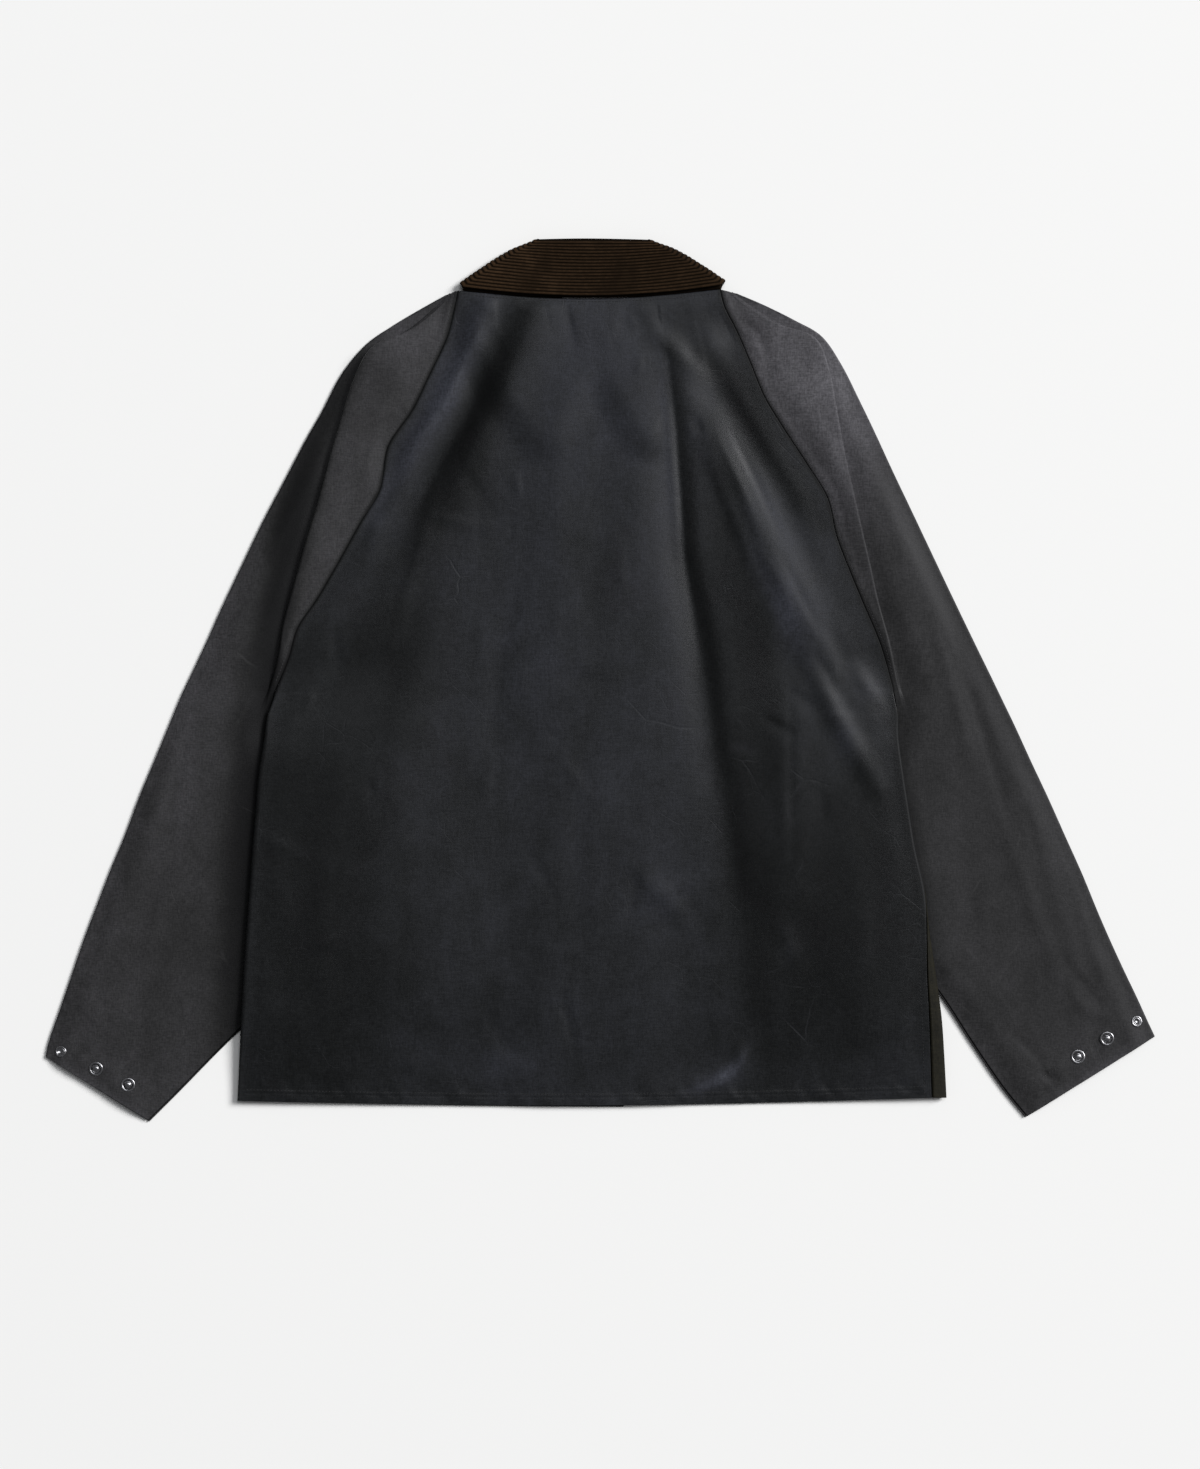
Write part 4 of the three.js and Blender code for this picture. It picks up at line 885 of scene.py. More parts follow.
def front_surface(side, centre, lap, seed):
    """A front's middle surface: rows from the side to the centre edge, flat on the floor but for
    what it lies over."""
    where = body_rows(70, 60)
    upper = where <= ARMPIT_ROW
    down = where / ARMPIT_ROW
    neck_share = (1 - smooth(down * 3))[:, None]
    neck_x = side.front[0, 0]
    neck_y = neck_height(side, neck_x)
    fall = neck_y - neck_height(side, 0.0)

    def neck_bend(part):
        x = lerp(neck_x, centre, part)
        return neck_height(side, x) - lerp(neck_y, neck_y - fall, part)

    seam = follow(side.front, where[upper])
    x = seam[:, :1] + side.inward * (SEAM_GAP / 2 + RAGLAN_EDGE_WIDTH * FRONT_STEPS[None])
    part = (x - x[:, :1]) / (centre - x[:, :1])
    y = seam[:, 1:] + neck_share[upper] * neck_bend(part)
    raglan = np.stack([x, y, LOWEST + collar_rise(x, y)], -1)
    below = where[~upper]

    def lengths(radius):
        final = (seam_length(side, below, radius) - ROUND_SEAM_GAP / 2)[:, None]
        bend = np.minimum(final, np.pi * radius[:, None])
        flat = final - bend
        share = 1 - FRONT_STEPS[None]
        return np.where(share > 0.6, bend + flat * (share - 0.6) / 0.4, bend * share / 0.6)

    edge = np.concatenate([raglan, side_edge(side, below, lengths, raglan[-1:], 0)])
    start = edge[:, -1]
    end_y = start[:, 1] - fall * (1 - np.minimum(1, down))
    parts = np.linspace(0, 1, 74)[None, 1:]
    x = lerp(start[:, :1], centre, parts)
    y = lerp(start[:, 1:2], end_y[:, None], parts)
    y = y + neck_share * neck_bend((x - edge[:, :1, 0]) / (centre - edge[:, :1, 0]))
    y = y - HEM_SAG * smooth(where / LAST_ROW * 3 - 2)[:, None] * np.sin(np.pi / 2 * parts)
    z = front_height(x, y) + lap(x)
    return np.concatenate([edge, np.stack([x, y, z], -1)], axis=1)


WALE_PITCH = 2.8
WALE_STEPS = 8
STAND_POINTS, ROLL_SEGMENTS = 8, 9


def collar_surface(wale_height):
    """The collar's middle surface and the height of its ribs. A section goes up the stand, over
    the roll by half a circle and down the fall; the sections go along the left front, round the
    left corner by half a turn, along the back, round the right corner and along the right front.
    A rib is the square root of the cosine's upper half, repeated down the fall."""
    corner_turns = np.linspace(0, 180, 13)[1:-1]
    front = np.linspace(0, 1, 30)
    back_rows = np.array([COLLAR[name] for name in ("left_corner", "back", "right_corner")], float)
    runs = (
        (LEFT.collar, front, np.zeros(30), 0),
        (back_rows, np.zeros(11), corner_turns, 0),
        (back_rows, np.linspace(0, 1, 72), np.full(72, 180.0), 0),
        (back_rows, np.ones(11), corner_turns[::-1], 1),
        (RIGHT.collar, front[::-1], np.zeros(30), 1),
    )
    places = [np.stack([through(rows[:, line], amount) for line in range(3)], 1) for rows, amount, _, _ in runs]
    lines = np.concatenate(places)
    turn = np.concatenate([run[2] for run in runs])
    on_right = np.concatenate([np.full(len(run[1]), run[3]) for run in runs])
    sag = np.concatenate([
        COLLAR_SAG * np.sin(np.pi * amount) ** 2 * (turns[0] == 180) for _, amount, turns, _ in runs
    ])
    neck, roll, fall = lines[:, 0], lines[:, 1], lines[:, 2]
    ways = [unit(np.array(COLLAR[name][1], float) - np.array(COLLAR[name][0], float)) for name in ("left_corner", "right_corner")]
    away = np.stack([[-ways[0][1], ways[0][0]], [ways[1][1], -ways[1][0]]])[on_right]
    longest = np.linalg.norm(np.subtract(COLLAR["back"][1], COLLAR["back"][2]))
    wales = round(longest / WALE_PITCH)
    stand = np.linspace(0, 1, STAND_POINTS)[None, :, None]
    roll_radius = (FALL_OUT - STAND_OUT) / 2
    bend = np.pi * np.arange(1, ROLL_SEGMENTS + 1) / ROLL_SEGMENTS
    drop = np.linspace(0, 1, wales * WALE_STEPS + 1)[1:]
    upward = unit(roll - neck)
    plan = np.concatenate([
        lerp(neck[:, None], roll[:, None], stand),
        roll[:, None] + upward[:, None] * (roll_radius * np.sin(bend))[None, :, None],
        lerp(roll[:, None], fall[:, None], drop[None, :, None]),
    ], axis=1)
    out = np.concatenate([
        np.full(STAND_POINTS, STAND_OUT),
        STAND_OUT + roll_radius * (1 - np.cos(bend)),
        np.full(len(drop), FALL_OUT),
    ])[None]
    angle = np.radians(turn)[:, None]
    shown = smooth(turn / 90)[:, None]
    below_roll = np.concatenate([np.linspace(1, 0.3, STAND_POINTS), np.full(ROLL_SEGMENTS, 0.3), 0.3 + 0.7 * smooth(drop * 3)])
    plan = plan + away[:, None] * (out * np.sin(angle) * below_roll)[..., None]
    bend_out = np.concatenate([np.sin(np.pi * np.linspace(1, 0, STAND_POINTS)), np.zeros(ROLL_SEGMENTS), np.sin(np.pi * drop)])
    amounts = [run[1] for run in runs]
    for at, normal in ((0, (-ways[0][1], ways[0][0])), (1, (ways[1][1], -ways[1][0]))):
        near = np.concatenate([
            smooth((amounts[0] - 0.6) / 0.4) * (at == 0), np.full(11, at == 0), 1 - smooth(np.abs(amounts[2] - at) / 0.35),
            np.full(11, at == 1), smooth((amounts[4] - 0.6) / 0.4) * (at == 1),
        ])
        plan = plan + COLLAR_BOW * near[:, None, None] * bend_out[None, :, None] * np.array(normal)
    z = COLLAR_MIDDLE - sag[:, None] - out * np.cos(angle)
    down = np.concatenate([np.zeros(STAND_POINTS + ROLL_SEGMENTS), drop])[None]
    x, y = plan[..., 0], plan[..., 1]
    z = z + shown * smooth(down * 5) * (0.35 * drift(x, y, (34, 20), 71) + 0.3 * drift(x, y, (13, 13), 72))
    ribs = np.abs(np.cos(np.pi * (down * wales + 0.5))) ** 0.7 * (down > 0)
    ribs = ribs * (1 + 0.25 * drift(x, y, (5, 5), 73) + 0.3 * drift(x, y, (30, 6), 74)) * wale_height * shown
    along = np.cumsum(np.concatenate([[0], np.linalg.norm(np.diff(roll, axis=0), axis=1)]))
    return np.concatenate([plan, z[..., None]], -1), ribs, along[:, None] + 0 * down, down * wales + 0 * angle


def stud_profile(diameter, post):
    """Radius and height down a press-stud part: a rolled rim round a hollow, then a post with a
    rounded head and waist, or for a socket a raised ring round a hole."""
    radius = diameter / 2
    turn = np.linspace(0, np.pi, 9)
    rim = np.stack([radius * (0.82 + 0.18 * np.cos(turn)), 0.35 + 0.75 * np.sin(turn)], -1)
    foot = np.array([[radius, 0.0]])
    if post:
        head = np.linspace(0, np.pi / 2, 7)
        floor = np.array([[radius * 0.62, 0.1], [radius * 0.42, 0.1], [radius * 0.31, 0.5], [radius * 0.27, 1.4]])
        knob = np.stack([radius * 0.37 * np.cos(head), 2.0 + 0.75 * np.sin(head)], -1)
        return np.concatenate([foot, rim, floor, [[radius * 0.37, 1.8]], knob[:-1], [[0.0, 2.75]]])
    inner = np.stack([radius * (0.56 + 0.1 * np.cos(turn)), 0.55 + 0.35 * np.sin(turn)], -1)
    return np.concatenate([foot, rim, inner, [[radius * 0.44, 0.1], [0.0, 0.1]]])


def lathe_mesh(name, profile, centre, tilt, segments=40):
    """A closed turned solid: the profile's radii go round the axis, from its foot to the top,
    and the foot is closed by a middle point. tilt turns the axis from +Z."""
    angle = np.linspace(0, 2 * np.pi, segments, endpoint=False)
    radius, height = profile[:-1, 0], profile[:-1, 1]
    ring = np.stack([
        radius[:, None] * np.cos(angle), radius[:, None] * np.sin(angle),
        np.broadcast_to(height[:, None], (len(radius), segments)),
    ], -1)
    points = np.concatenate([ring.reshape(-1, 3), [[0, 0, profile[-1, 1]], [0, 0, profile[0, 1]]]])
    index = np.arange(len(radius) * segments).reshape(len(radius), segments)
    after = np.roll(index, -1, axis=1)
    sides = np.stack([index[:-1], after[:-1], after[1:], index[1:]], -1).reshape(-1, 4)
    top = np.stack([index[-1], after[-1], np.full(segments, index.size)], -1)
    foot = np.stack([after[0], index[0], np.full(segments, index.size + 1)], -1)
    rotation = np.array(Vector((0, 0, 1)).rotation_difference(Vector(tilt)).to_matrix())
    points = (points @ rotation.T) * MM + centre
    mesh = bpy.data.meshes.new(name)
    mesh.from_pydata(points.tolist(), [], sides.tolist() + top.tolist() + foot.tolist())
    mesh.polygons.foreach_set("use_smooth", np.ones(len(mesh.polygons), bool))
    piece = bpy.data.objects.new(name, mesh)
    bpy.context.scene.collection.objects.link(piece)
    return piece


def lay_on(piece, places):
    """Points and normals on a piece's upper face, straight below places in millimetres."""
    found = []
    for x, y in places:
        origin = Vector(((x + CENTRING[0]) * MM, (y + CENTRING[1]) * MM, 0.1))
        hit, point, normal, _ = piece.ray_cast(origin, Vector((0, 0, -1)))
        if hit:
            found.append((*point, *normal))
    found = np.array(found)
    return found[:, :3], found[:, 3:]


def resample(line, pitch):
    """Places at an even pitch along a line of places."""
    line = np.asarray(line, float)
    length = np.concatenate([[0], np.cumsum(np.linalg.norm(np.diff(line, axis=0), axis=1))])
    at = np.arange(pitch / 2, length[-1], pitch)
    return np.stack([np.interp(at, length, line[:, axis]) for axis in range(2)], -1)


def offset_line(line, distance):
    """A line moved sideways, to its left for a positive distance."""
    line = np.asarray(line, float)
    way = unit(np.gradient(line, axis=0))
    return line + np.stack([-way[:, 1], way[:, 0]], -1) * distance


def stitch_arrays(piece, line, pitch, thread, seed):
    """Stitches along a line laid on a piece: each is a spindle as long as two thirds of the pitch,
    whose radius is a half sine, flattened against the cloth and turned a little from the line."""
    points, normals = lay_on(piece, resample(line, pitch))
    along = unit(np.gradient(points, axis=0))
    along = unit(along - normals * np.sum(along * normals, -1, keepdims=True))
    across = np.cross(normals, along)
    slant = np.random.default_rng(seed).normal(0.10, 0.05, len(points))[:, None]
    along, across = unit(along + across * slant), unit(across - along * slant)
    rings, sides = 5, 6
    part = np.linspace(0.06, 0.94, rings)
    angle = np.linspace(0, 2 * np.pi, sides, endpoint=False)
    reach = (part - 0.5) * pitch * 0.72 * MM
    girth = np.sin(np.pi * part) ** 0.6 * thread * MM
    sideways = girth[:, None] * np.cos(angle)
    upward = girth[:, None] * np.sin(angle) * 0.8 + thread * MM * 0.35
    shape = (
        along[:, None, None] * reach[None, :, None, None]
        + across[:, None, None] * sideways[None, :, :, None]
        + normals[:, None, None] * upward[None, :, :, None]
    )
    vertices = (points[:, None, None] + shape).reshape(-1, 3)
    index = np.arange(rings * sides).reshape(rings, sides)
    after = np.roll(index, -1, axis=1)
    quads = np.stack([index[:-1], index[1:], after[1:], after[:-1]], -1).reshape(-1, 4)
    caps = np.array([index[0, [0, 1, 2, 3]], index[0, [0, 3, 4, 5]], index[-1, [3, 2, 1, 0]], index[-1, [5, 4, 3, 0]]])
    faces = np.concatenate([quads, caps])
    starts = np.arange(len(points)) * rings * sides
    return vertices, (faces[None] + starts[:, None, None]).reshape(-1, 4)


def stitch_piece(name, runs):
    """One mesh of all the stitches of several runs."""
    vertices, faces, count = [], [], 0
    for run in runs:
        points, quads = stitch_arrays(*run)
        vertices.append(points)
        faces.append(quads + count)
        count += len(points)
    mesh = bpy.data.meshes.new(name)
    mesh.from_pydata(np.concatenate(vertices).tolist(), [], np.concatenate(faces).tolist())
    mesh.polygons.foreach_set("use_smooth", np.ones(len(mesh.polygons), bool))
    piece = bpy.data.objects.new(name, mesh)
    bpy.context.scene.collection.objects.link(piece)
    return piece


class Link:
    """A node socket in an expression: arithmetic on it adds Math nodes."""

    def __init__(self, shader, socket):
        self.shader, self.socket = shader, socket

    def _math(self, operation, *inputs):
        return self.shader.add("Math", {"operation": operation}, dict(enumerate(inputs)))

    def __add__(self, other):
        return self._math("ADD", self, other)

    def __sub__(self, other):
        return self._math("SUBTRACT", self, other)

    def __rsub__(self, other):
        return self._math("SUBTRACT", other, self)

    def __mul__(self, other):
        return self._math("MULTIPLY", self, other)

    def __pow__(self, other):
        return self._math("POWER", self, other)

    __radd__, __rmul__ = __add__, __mul__


class Shader:
    """The nodes of one material."""

    def __init__(self, name):
        self.material = bpy.data.materials.new(name)
        self.material.use_nodes = True
        self.tree = self.material.node_tree
        self.surface = self.tree.nodes["Principled BSDF"]

    def add(self, kind, settings=None, values=None, output=0):
        """A node of a type, its settings first and then the values or links of its sockets."""
        node = self.tree.nodes.new("ShaderNode" + kind)
        for name, value in (settings or {}).items():
            if name == "stops":
                ramp = node.color_ramp
                for stop, (position, colour) in enumerate(value):
                    element = ramp.elements[stop] if stop < 2 else ramp.elements.new(position)
                    element.position, element.color = position, colour
            else:
                setattr(node, name, value)
        for name, value in (values or {}).items():
            if isinstance(value, Link):
                self.tree.links.new(value.socket, node.inputs[name])
            else:
                node.inputs[name].default_value = value
        return Link(self, node.outputs[output])

    def noise(self, coordinates, scale, detail=3.0, roughness=0.55, distortion=0.0):
        values = {"Vector": coordinates, "Scale": scale, "Detail": detail, "Roughness": roughness, "Distortion": distortion}
        return self.add("TexNoise", None, values)

    def crackle(self, coordinates, scale):
        """Distance to the edges of irregular cells."""
        return self.add("TexVoronoi", {"feature": "DISTANCE_TO_EDGE"}, {"Vector": coordinates, "Scale": scale})

    def spread(self, value, reach):
        """A vector whose three parts are a value between minus and plus half of the reach."""
        moved = (value - 0.5) * reach
        return self.add("CombineXYZ", None, {0: moved, 1: moved * -1.0, 2: 0.0})

    def steps(self, value, low, high):
        """0 below low and 1 above high, with an ease between."""
        settings = {"interpolation_type": "SMOOTHSTEP"}
        return self.add("MapRange", settings, {"Value": value, "From Min": low, "From Max": high})

    def blend(self, factor, first, second):
        """A mix of two colours."""
        settings = {"data_type": "RGBA"}
        return self.add("Mix", settings, {0: factor, 6: first, 7: second}, output=2)

    def set(self, **values):
        """Values or links of the surface shader's sockets, with _ for a space."""
        for name, value in values.items():
            socket = self.surface.inputs[name.replace("_", " ")]
            if isinstance(value, Link):
                self.tree.links.new(value.socket, socket)
            else:
                socket.default_value = value

    def tint(self, colour, factor):
        """A colour multiplied by a factor."""
        return self.add("VectorMath", {"operation": "SCALE"}, {0: colour, "Scale": factor})

    def bump(self, height, distance, strength=1.0, normal=None):
        values = {"Height": height, "Distance": distance, "Strength": strength}
        if normal is not None:
            values["Normal"] = normal
        return self.add("Bump", None, values)


def shade(colour, factor):
    """A colour with its three parts multiplied by a factor."""
    return (colour[0] * factor, colour[1] * factor, colour[2] * factor, 1.0)


def waxed_cloth(name, colour, glossy, wear, specular, wet_hue, dry_hue):
    """Waxed cotton: where the wax is wet the cloth is darker and smoother, where it is dry it is
    paler and rougher, each with its own hue. The wax attribute also brings in painted highlight and painted shade.
    Thin creases of handling are paler, uneven threads show as short streaks both ways, and a fine plain weave shows
    close up."""
    shader = Shader(name)
    place = shader.add("TexCoord", output=3)
    parts = shader.add("SeparateXYZ", None, {"Vector": place})
    across = Link(shader, parts.socket.node.outputs[0])
    down = Link(shader, parts.socket.node.outputs[1])
    wax = shader.add("Attribute", {"attribute_name": "wax"}, output=2)
    matt = shader.add("Attribute", {"attribute_name": "matt"}, output=2)
    patch = shader.noise(place, 38.0, 4.0, 0.6, 0.4)
    warp_threads = shader.noise(shader.add("Mapping", None, {"Vector": place, "Scale": (6.0, 0.8, 1.0)}), 190.0, 3.0, 0.65)
    weft_threads = shader.noise(shader.add("Mapping", None, {"Vector": place, "Scale": (0.8, 6.0, 1.0)}), 190.0, 3.0, 0.65)
    grain = shader.noise(place, 520.0, 2.0, 0.6)
    threads = warp_threads * 0.36 + weft_threads * 0.36 + grain * 0.28
    wander = shader.noise(place, 14.0, 3.0, 0.6)
    warped = shader.add("VectorMath", {"operation": "ADD"}, {0: place, 1: shader.spread(wander, 0.03)})
    line = 1 - shader.steps(shader.crackle(warped, 17.0), 0.0, 0.022)
    fine_line = 1 - shader.steps(shader.crackle(warped, 52.0), 0.0, 0.03)
    some = shader.steps(shader.noise(place, 8.0, 3.0), 0.5, 0.62)
    few = shader.steps(shader.noise(place, 21.0, 2.0), 0.5, 0.68)
    creases = line * some * few + fine_line * few * (1 - some) * 0.4
    streak = shader.noise(shader.add("Mapping", None, {"Vector": place, "Scale": (4.0, 0.8, 1.0)}), 16.0, 4.0, 0.65)
    # The wax attribute brings painted highlight and painted shade along folds, seams and side edges into this amount,
    # as well as the wax's own tone.
    amount = wax + (patch - 0.5) * 1.4 + (streak - 0.5) * 0.8
    dry = shader.steps(amount, -1.2, 1.2)
    strength = shader.add("Math", {"operation": "POWER"}, {0: 2.0, 1: amount * 0.9})
    wet_tone, dry_tone = (tuple(c * h for c, h in zip(colour, hue)) + (1.0,) for hue in (wet_hue, dry_hue))
    base = shader.tint(shader.blend(dry, wet_tone, dry_tone), strength)
    thready = shader.blend(shader.steps(threads, 0.36, 0.66), shader.tint(base, 0.62), shader.tint(base, 1.5))
    worn = shader.blend(creases * wear, thready, shade(colour, 2.0))
    pitch = 2 * math.pi / 0.00062
    warp = shader.add("Math", {"operation": "SINE"}, {0: across * pitch})
    weft = shader.add("Math", {"operation": "SINE"}, {0: down * pitch})
    weave = shader.bump(warp * weft, 0.00005, 0.35)
    rough = shader.bump(patch * 0.35 + threads * 0.65, 0.0006, 0.35, weave)
    normal = shader.bump(creases * -1.0, 0.0003, 0.45, rough)
    shader.set(
        Base_Color=worn, Normal=normal, Metallic=0.0, IOR=1.45, Specular_IOR_Level=specular,
        Specular_Tint=(0.95, 0.955, 1.0, 1.0),
        Roughness=glossy + (dry - 0.5) * 0.2 + creases * 0.1 + (threads - 0.5) * 0.2 + matt * 0.4,
    )
    return shader.material


def corduroy(name, colour):
    """Corduroy: V of its UV map counts ribs, with painted highlight on their tops and painted shade,
    almost black, between them, and U runs along them in metres for the pile's short streaks, which carry painted
    highlight on the tops. A painted sheen makes it paler towards the left."""
    shader = Shader(name)
    place = shader.add("TexCoord", output=3)
    cloth = shader.add("UVMap", {"uv_map": "cloth"})
    parts = shader.add("SeparateXYZ", None, {"Vector": cloth})
    ribs = Link(shader, parts.socket.node.outputs[1])
    wave = shader.add("Math", {"operation": "COSINE"}, {0: (ribs - 0.5) * (2 * math.pi)})
    crown = wave * 0.5 + 0.5
    streaks = shader.add("Mapping", None, {"Vector": place, "Scale": (0.35, 1.0, 1.0)})
    pile = shader.noise(streaks, 900.0, 3.0, 0.7)
    patch = shader.noise(place, 55.0, 4.0, 0.6)
    # Painted shade, almost black, in the grooves between the ribs, and painted highlight on their tops.
    base = shader.blend(shader.steps(crown, 0.05, 0.85), shade(colour, 0.12), shade(colour, 1.2))
    # Painted highlight: pale streaks of pile on the ribs' tops.
    lit = shader.steps(pile, 0.42, 0.72) * crown
    brushed = shader.blend(lit * 0.7, base, shade(colour, 2.6))
    worn = shader.blend(shader.steps(patch, 0.5, 0.66) * crown * 0.5, brushed, shade(colour, 2.6))
    dull = shader.steps(shader.noise(place, 24.0, 3.0, 0.6), 0.46, 0.62)
    worn = shader.blend(dull * 0.55, worn, shade(colour, 0.35))
    sideways = shader.add("SeparateXYZ", None, {"Vector": place})
    # Painted sheen: paler towards the left.
    painted_sheen_left = shader.steps(sideways * -1.0, 0.02, 0.10) * 0.5 + 1.0
    shader.set(
        Base_Color=shader.tint(worn, painted_sheen_left), Roughness=0.9 + (pile - 0.5) * 0.1, Specular_IOR_Level=0.10,
        Specular_Tint=(1.0, 0.8, 0.6, 1.0), Normal=shader.bump(pile, 0.0004, 0.6),
    )
    return shader.material


def dark_metal(name, colour):
    """Plated metal, brushed by handling: rougher and darker in broad patches."""
    shader = Shader(name)
    place = shader.add("TexCoord", output=3)
    patch = shader.noise(place, 420.0, 3.0)
    scratch = shader.noise(shader.add("Mapping", None, {"Vector": place, "Scale": (1.0, 6.0, 1.0)}), 1500.0, 2.0)
    shader.set(
        Base_Color=shader.blend(patch, shade(colour, 0.7), shade(colour, 1.3)), Metallic=1.0,
        Roughness=0.20 + patch * 0.16, Normal=shader.bump(scratch, 0.00003, 0.3),
    )
    return shader.material


def thread(name, colour):
    """Twisted sewing thread with a short fine pile."""
    shader = Shader(name)
    place = shader.add("TexCoord", output=3)
    twist = shader.noise(place, 1800.0, 2.0)
    shader.set(
        Base_Color=shader.blend(twist, shade(colour, 0.7), shade(colour, 1.4)),
        Roughness=0.6 + twist * 0.2, Normal=shader.bump(twist, 0.0001, 0.5),
    )
    return shader.material


def finish_piece(piece, material, replaces=()):
    """Gives a piece its material, body, slot and the nodes that it stands for."""
    piece.data.materials.append(material)
    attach(piece, "root")
    if replaces:
        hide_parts(*replaces)


def colour_property(name, default, description):
    return bpy.props.FloatVectorProperty(
        name=name, description=description, default=default, size=3, min=0, max=1, subtype="COLOR",
    )


class JacketColours(bpy.types.PropertyGroup):
    """Colours of the cloths and trims, as linear values."""

    navy: colour_property("Back", (0.0108, 0.0112, 0.0134), "Waxed cloth of the back")
    charcoal: colour_property("Sleeves", (0.0258, 0.0257, 0.0262), "Waxed cloth of the sleeves")
    olive: colour_property("Fronts", (0.0100, 0.0090, 0.0046), "Waxed cloth of the fronts")
    brown: colour_property("Collar", (0.0158, 0.0090, 0.0048), "Corduroy of the collar")
    metal: colour_property("Studs", (0.30, 0.30, 0.315), "Plating of the press studs")
    thread: colour_property("Thread", (0.008, 0.008, 0.009), "Sewing thread of the body")
    pale_thread: colour_property("Raglan thread", (0.027, 0.027, 0.03), "Sewing thread of the sleeves")


class JacketSizes(bpy.types.PropertyGroup):
    """Sizes that a user would change."""

    wale_height: bpy.props.FloatProperty(
        name="Rib height", description="Height of the corduroy's ribs", default=0.0006,
        min=0.0001, max=0.001, unit="LENGTH",
    )
    stitch_pitch: bpy.props.FloatProperty(
        name="Stitch pitch", description="Length from one stitch to the next", default=0.0029,
        min=0.002, max=0.006, unit="LENGTH",
    )
    thread_radius: bpy.props.FloatProperty(
        name="Thread radius", description="Half the thickness of the sewing thread",
        default=0.00026, min=0.0001, max=0.001, unit="LENGTH",
    )


class StageSettings(bpy.types.PropertyGroup):
    """The floor, the lights and the camera."""

    camera_height: bpy.props.FloatProperty(
        name="Camera height", description="From the floor to the camera", default=2.948,
        min=0.5, max=10, unit="LENGTH",
    )
    key_power: bpy.props.FloatProperty(
        name="Key light", description="Power of the large light from the upper right",
        default=33600.0, min=0, max=100000, unit="POWER",
    )
    sheen_power: bpy.props.FloatProperty(
        name="Sheen light", description="Power of the light above the collar",
        default=432.0, min=0, max=5000, unit="POWER",
    )
    world_strength: bpy.props.FloatProperty(
        name="World light", description="Brightness of the even light all round",
        default=0.14, min=0, max=2,
    )
    floor_colour: colour_property("Floor", (0.925, 0.925, 0.925), "Plain pale floor")


class JACKET_OT_back(bpy.types.Operator):
    """Build the back panel"""

    bl_idname = "jacket.back"
    bl_label = "Back panel"

    def execute(self, context):
        grid = back_surface()
        piece = wall_mesh("back_panel", grid, CLOTH, -1)
        add_wax_and_painted_light(piece, grid, BACK_WAX_AND_PAINTED_LIGHT, BACK_PAINTED_LIGHT_LINES)
        material = waxed_cloth("navy waxed cotton", context.scene.jacket_colours.navy, 0.42, 0.3, 0.30, (0.95, 1.0, 0.86), (0.97, 1.0, 1.08))
        finish_piece(piece, material, ("back",))
        return {"FINISHED"}


class JACKET_OT_fronts(bpy.types.Operator):
    """Build the two front panels"""

    bl_idname = "jacket.fronts"
    bl_label = "Front panels"

    def execute(self, context):
        material = waxed_cloth("olive waxed cotton", context.scene.jacket_colours.olive, 0.5, 0.3, 0.25, (1.0, 1.0, 1.0), (1.0, 1.0, 1.0))
        for name, side, centre, lap, turned, seed in (
            ("front_left", LEFT, LAP_HALF, lambda x: 0.0 * x, -1, 11),
            ("front_right", RIGHT, -LAP_HALF, lambda x: lap_rise(x, 25), 1, 12),
        ):
            grid = front_surface(side, centre, lap, seed)
            piece = wall_mesh(name + "_panel", grid, CLOTH, turned)
            add_wax_and_painted_light(piece, grid, ())
            finish_piece(piece, material, (name,))
        return {"FINISHED"}


class JACKET_OT_sleeves(bpy.types.Operator):
    """Build the two raglan sleeves"""

    bl_idname = "jacket.sleeves"
    bl_label = "Sleeves"

    def execute(self, context):
        colours = context.scene.jacket_colours
        material = waxed_cloth("charcoal waxed cotton", colours.charcoal, 0.60, 0.3, 0.25, (1.0, 1.0, 1.0), (1.0, 0.975, 1.06))
        for name, side, seed in (("sleeve_left", LEFT, 31), ("sleeve_right", RIGHT, 51)):
            grid = sleeve_surface(side, seed)
            piece = wall_mesh(name + "_tube", grid, CLOTH, side.inward)
            add_wax_and_painted_light(piece, grid, SLEEVE_WAX_AND_PAINTED_LIGHT, SLEEVE_PAINTED_SHADOW_AND_CUFF_LINES)
            finish_piece(piece, material, (name,))
        return {"FINISHED"}


class JACKET_OT_collar(bpy.types.Operator):
    """Build the corduroy collar"""

    bl_idname = "jacket.collar"
    bl_label = "Collar"

    def execute(self, context):
        scene = context.scene
        grid, ribs, along, across = collar_surface(scene.jacket_sizes.wale_height / MM)
        piece = wall_mesh("collar_corduroy", grid, CORDUROY, 1, ribs)
        add_map(piece, along * MM, across)
        finish_piece(piece, corduroy("brown corduroy", scene.jacket_colours.brown), ("collar",))
        return {"FINISHED"}


class JACKET_OT_studs(bpy.types.Operator):
    """Build the press-stud parts on the cuffs"""

    bl_idname = "jacket.studs"
    bl_label = "Press studs"

    def execute(self, context):
        material = dark_metal("gunmetal", context.scene.jacket_colours.metal)
        for name, x, y, diameter, post in STUDS:
            sleeve = bpy.data.objects["sleeve_left_tube" if x < 0 else "sleeve_right_tube"]
            points, normals = lay_on(sleeve, [(x, y)])
            sunk = points[0] - normals[0] * 0.05 * MM
            piece = lathe_mesh(name + "_metal", stud_profile(diameter, post), sunk, tuple(normals[0]))
            finish_piece(piece, material, (name,))
        return {"FINISHED"}


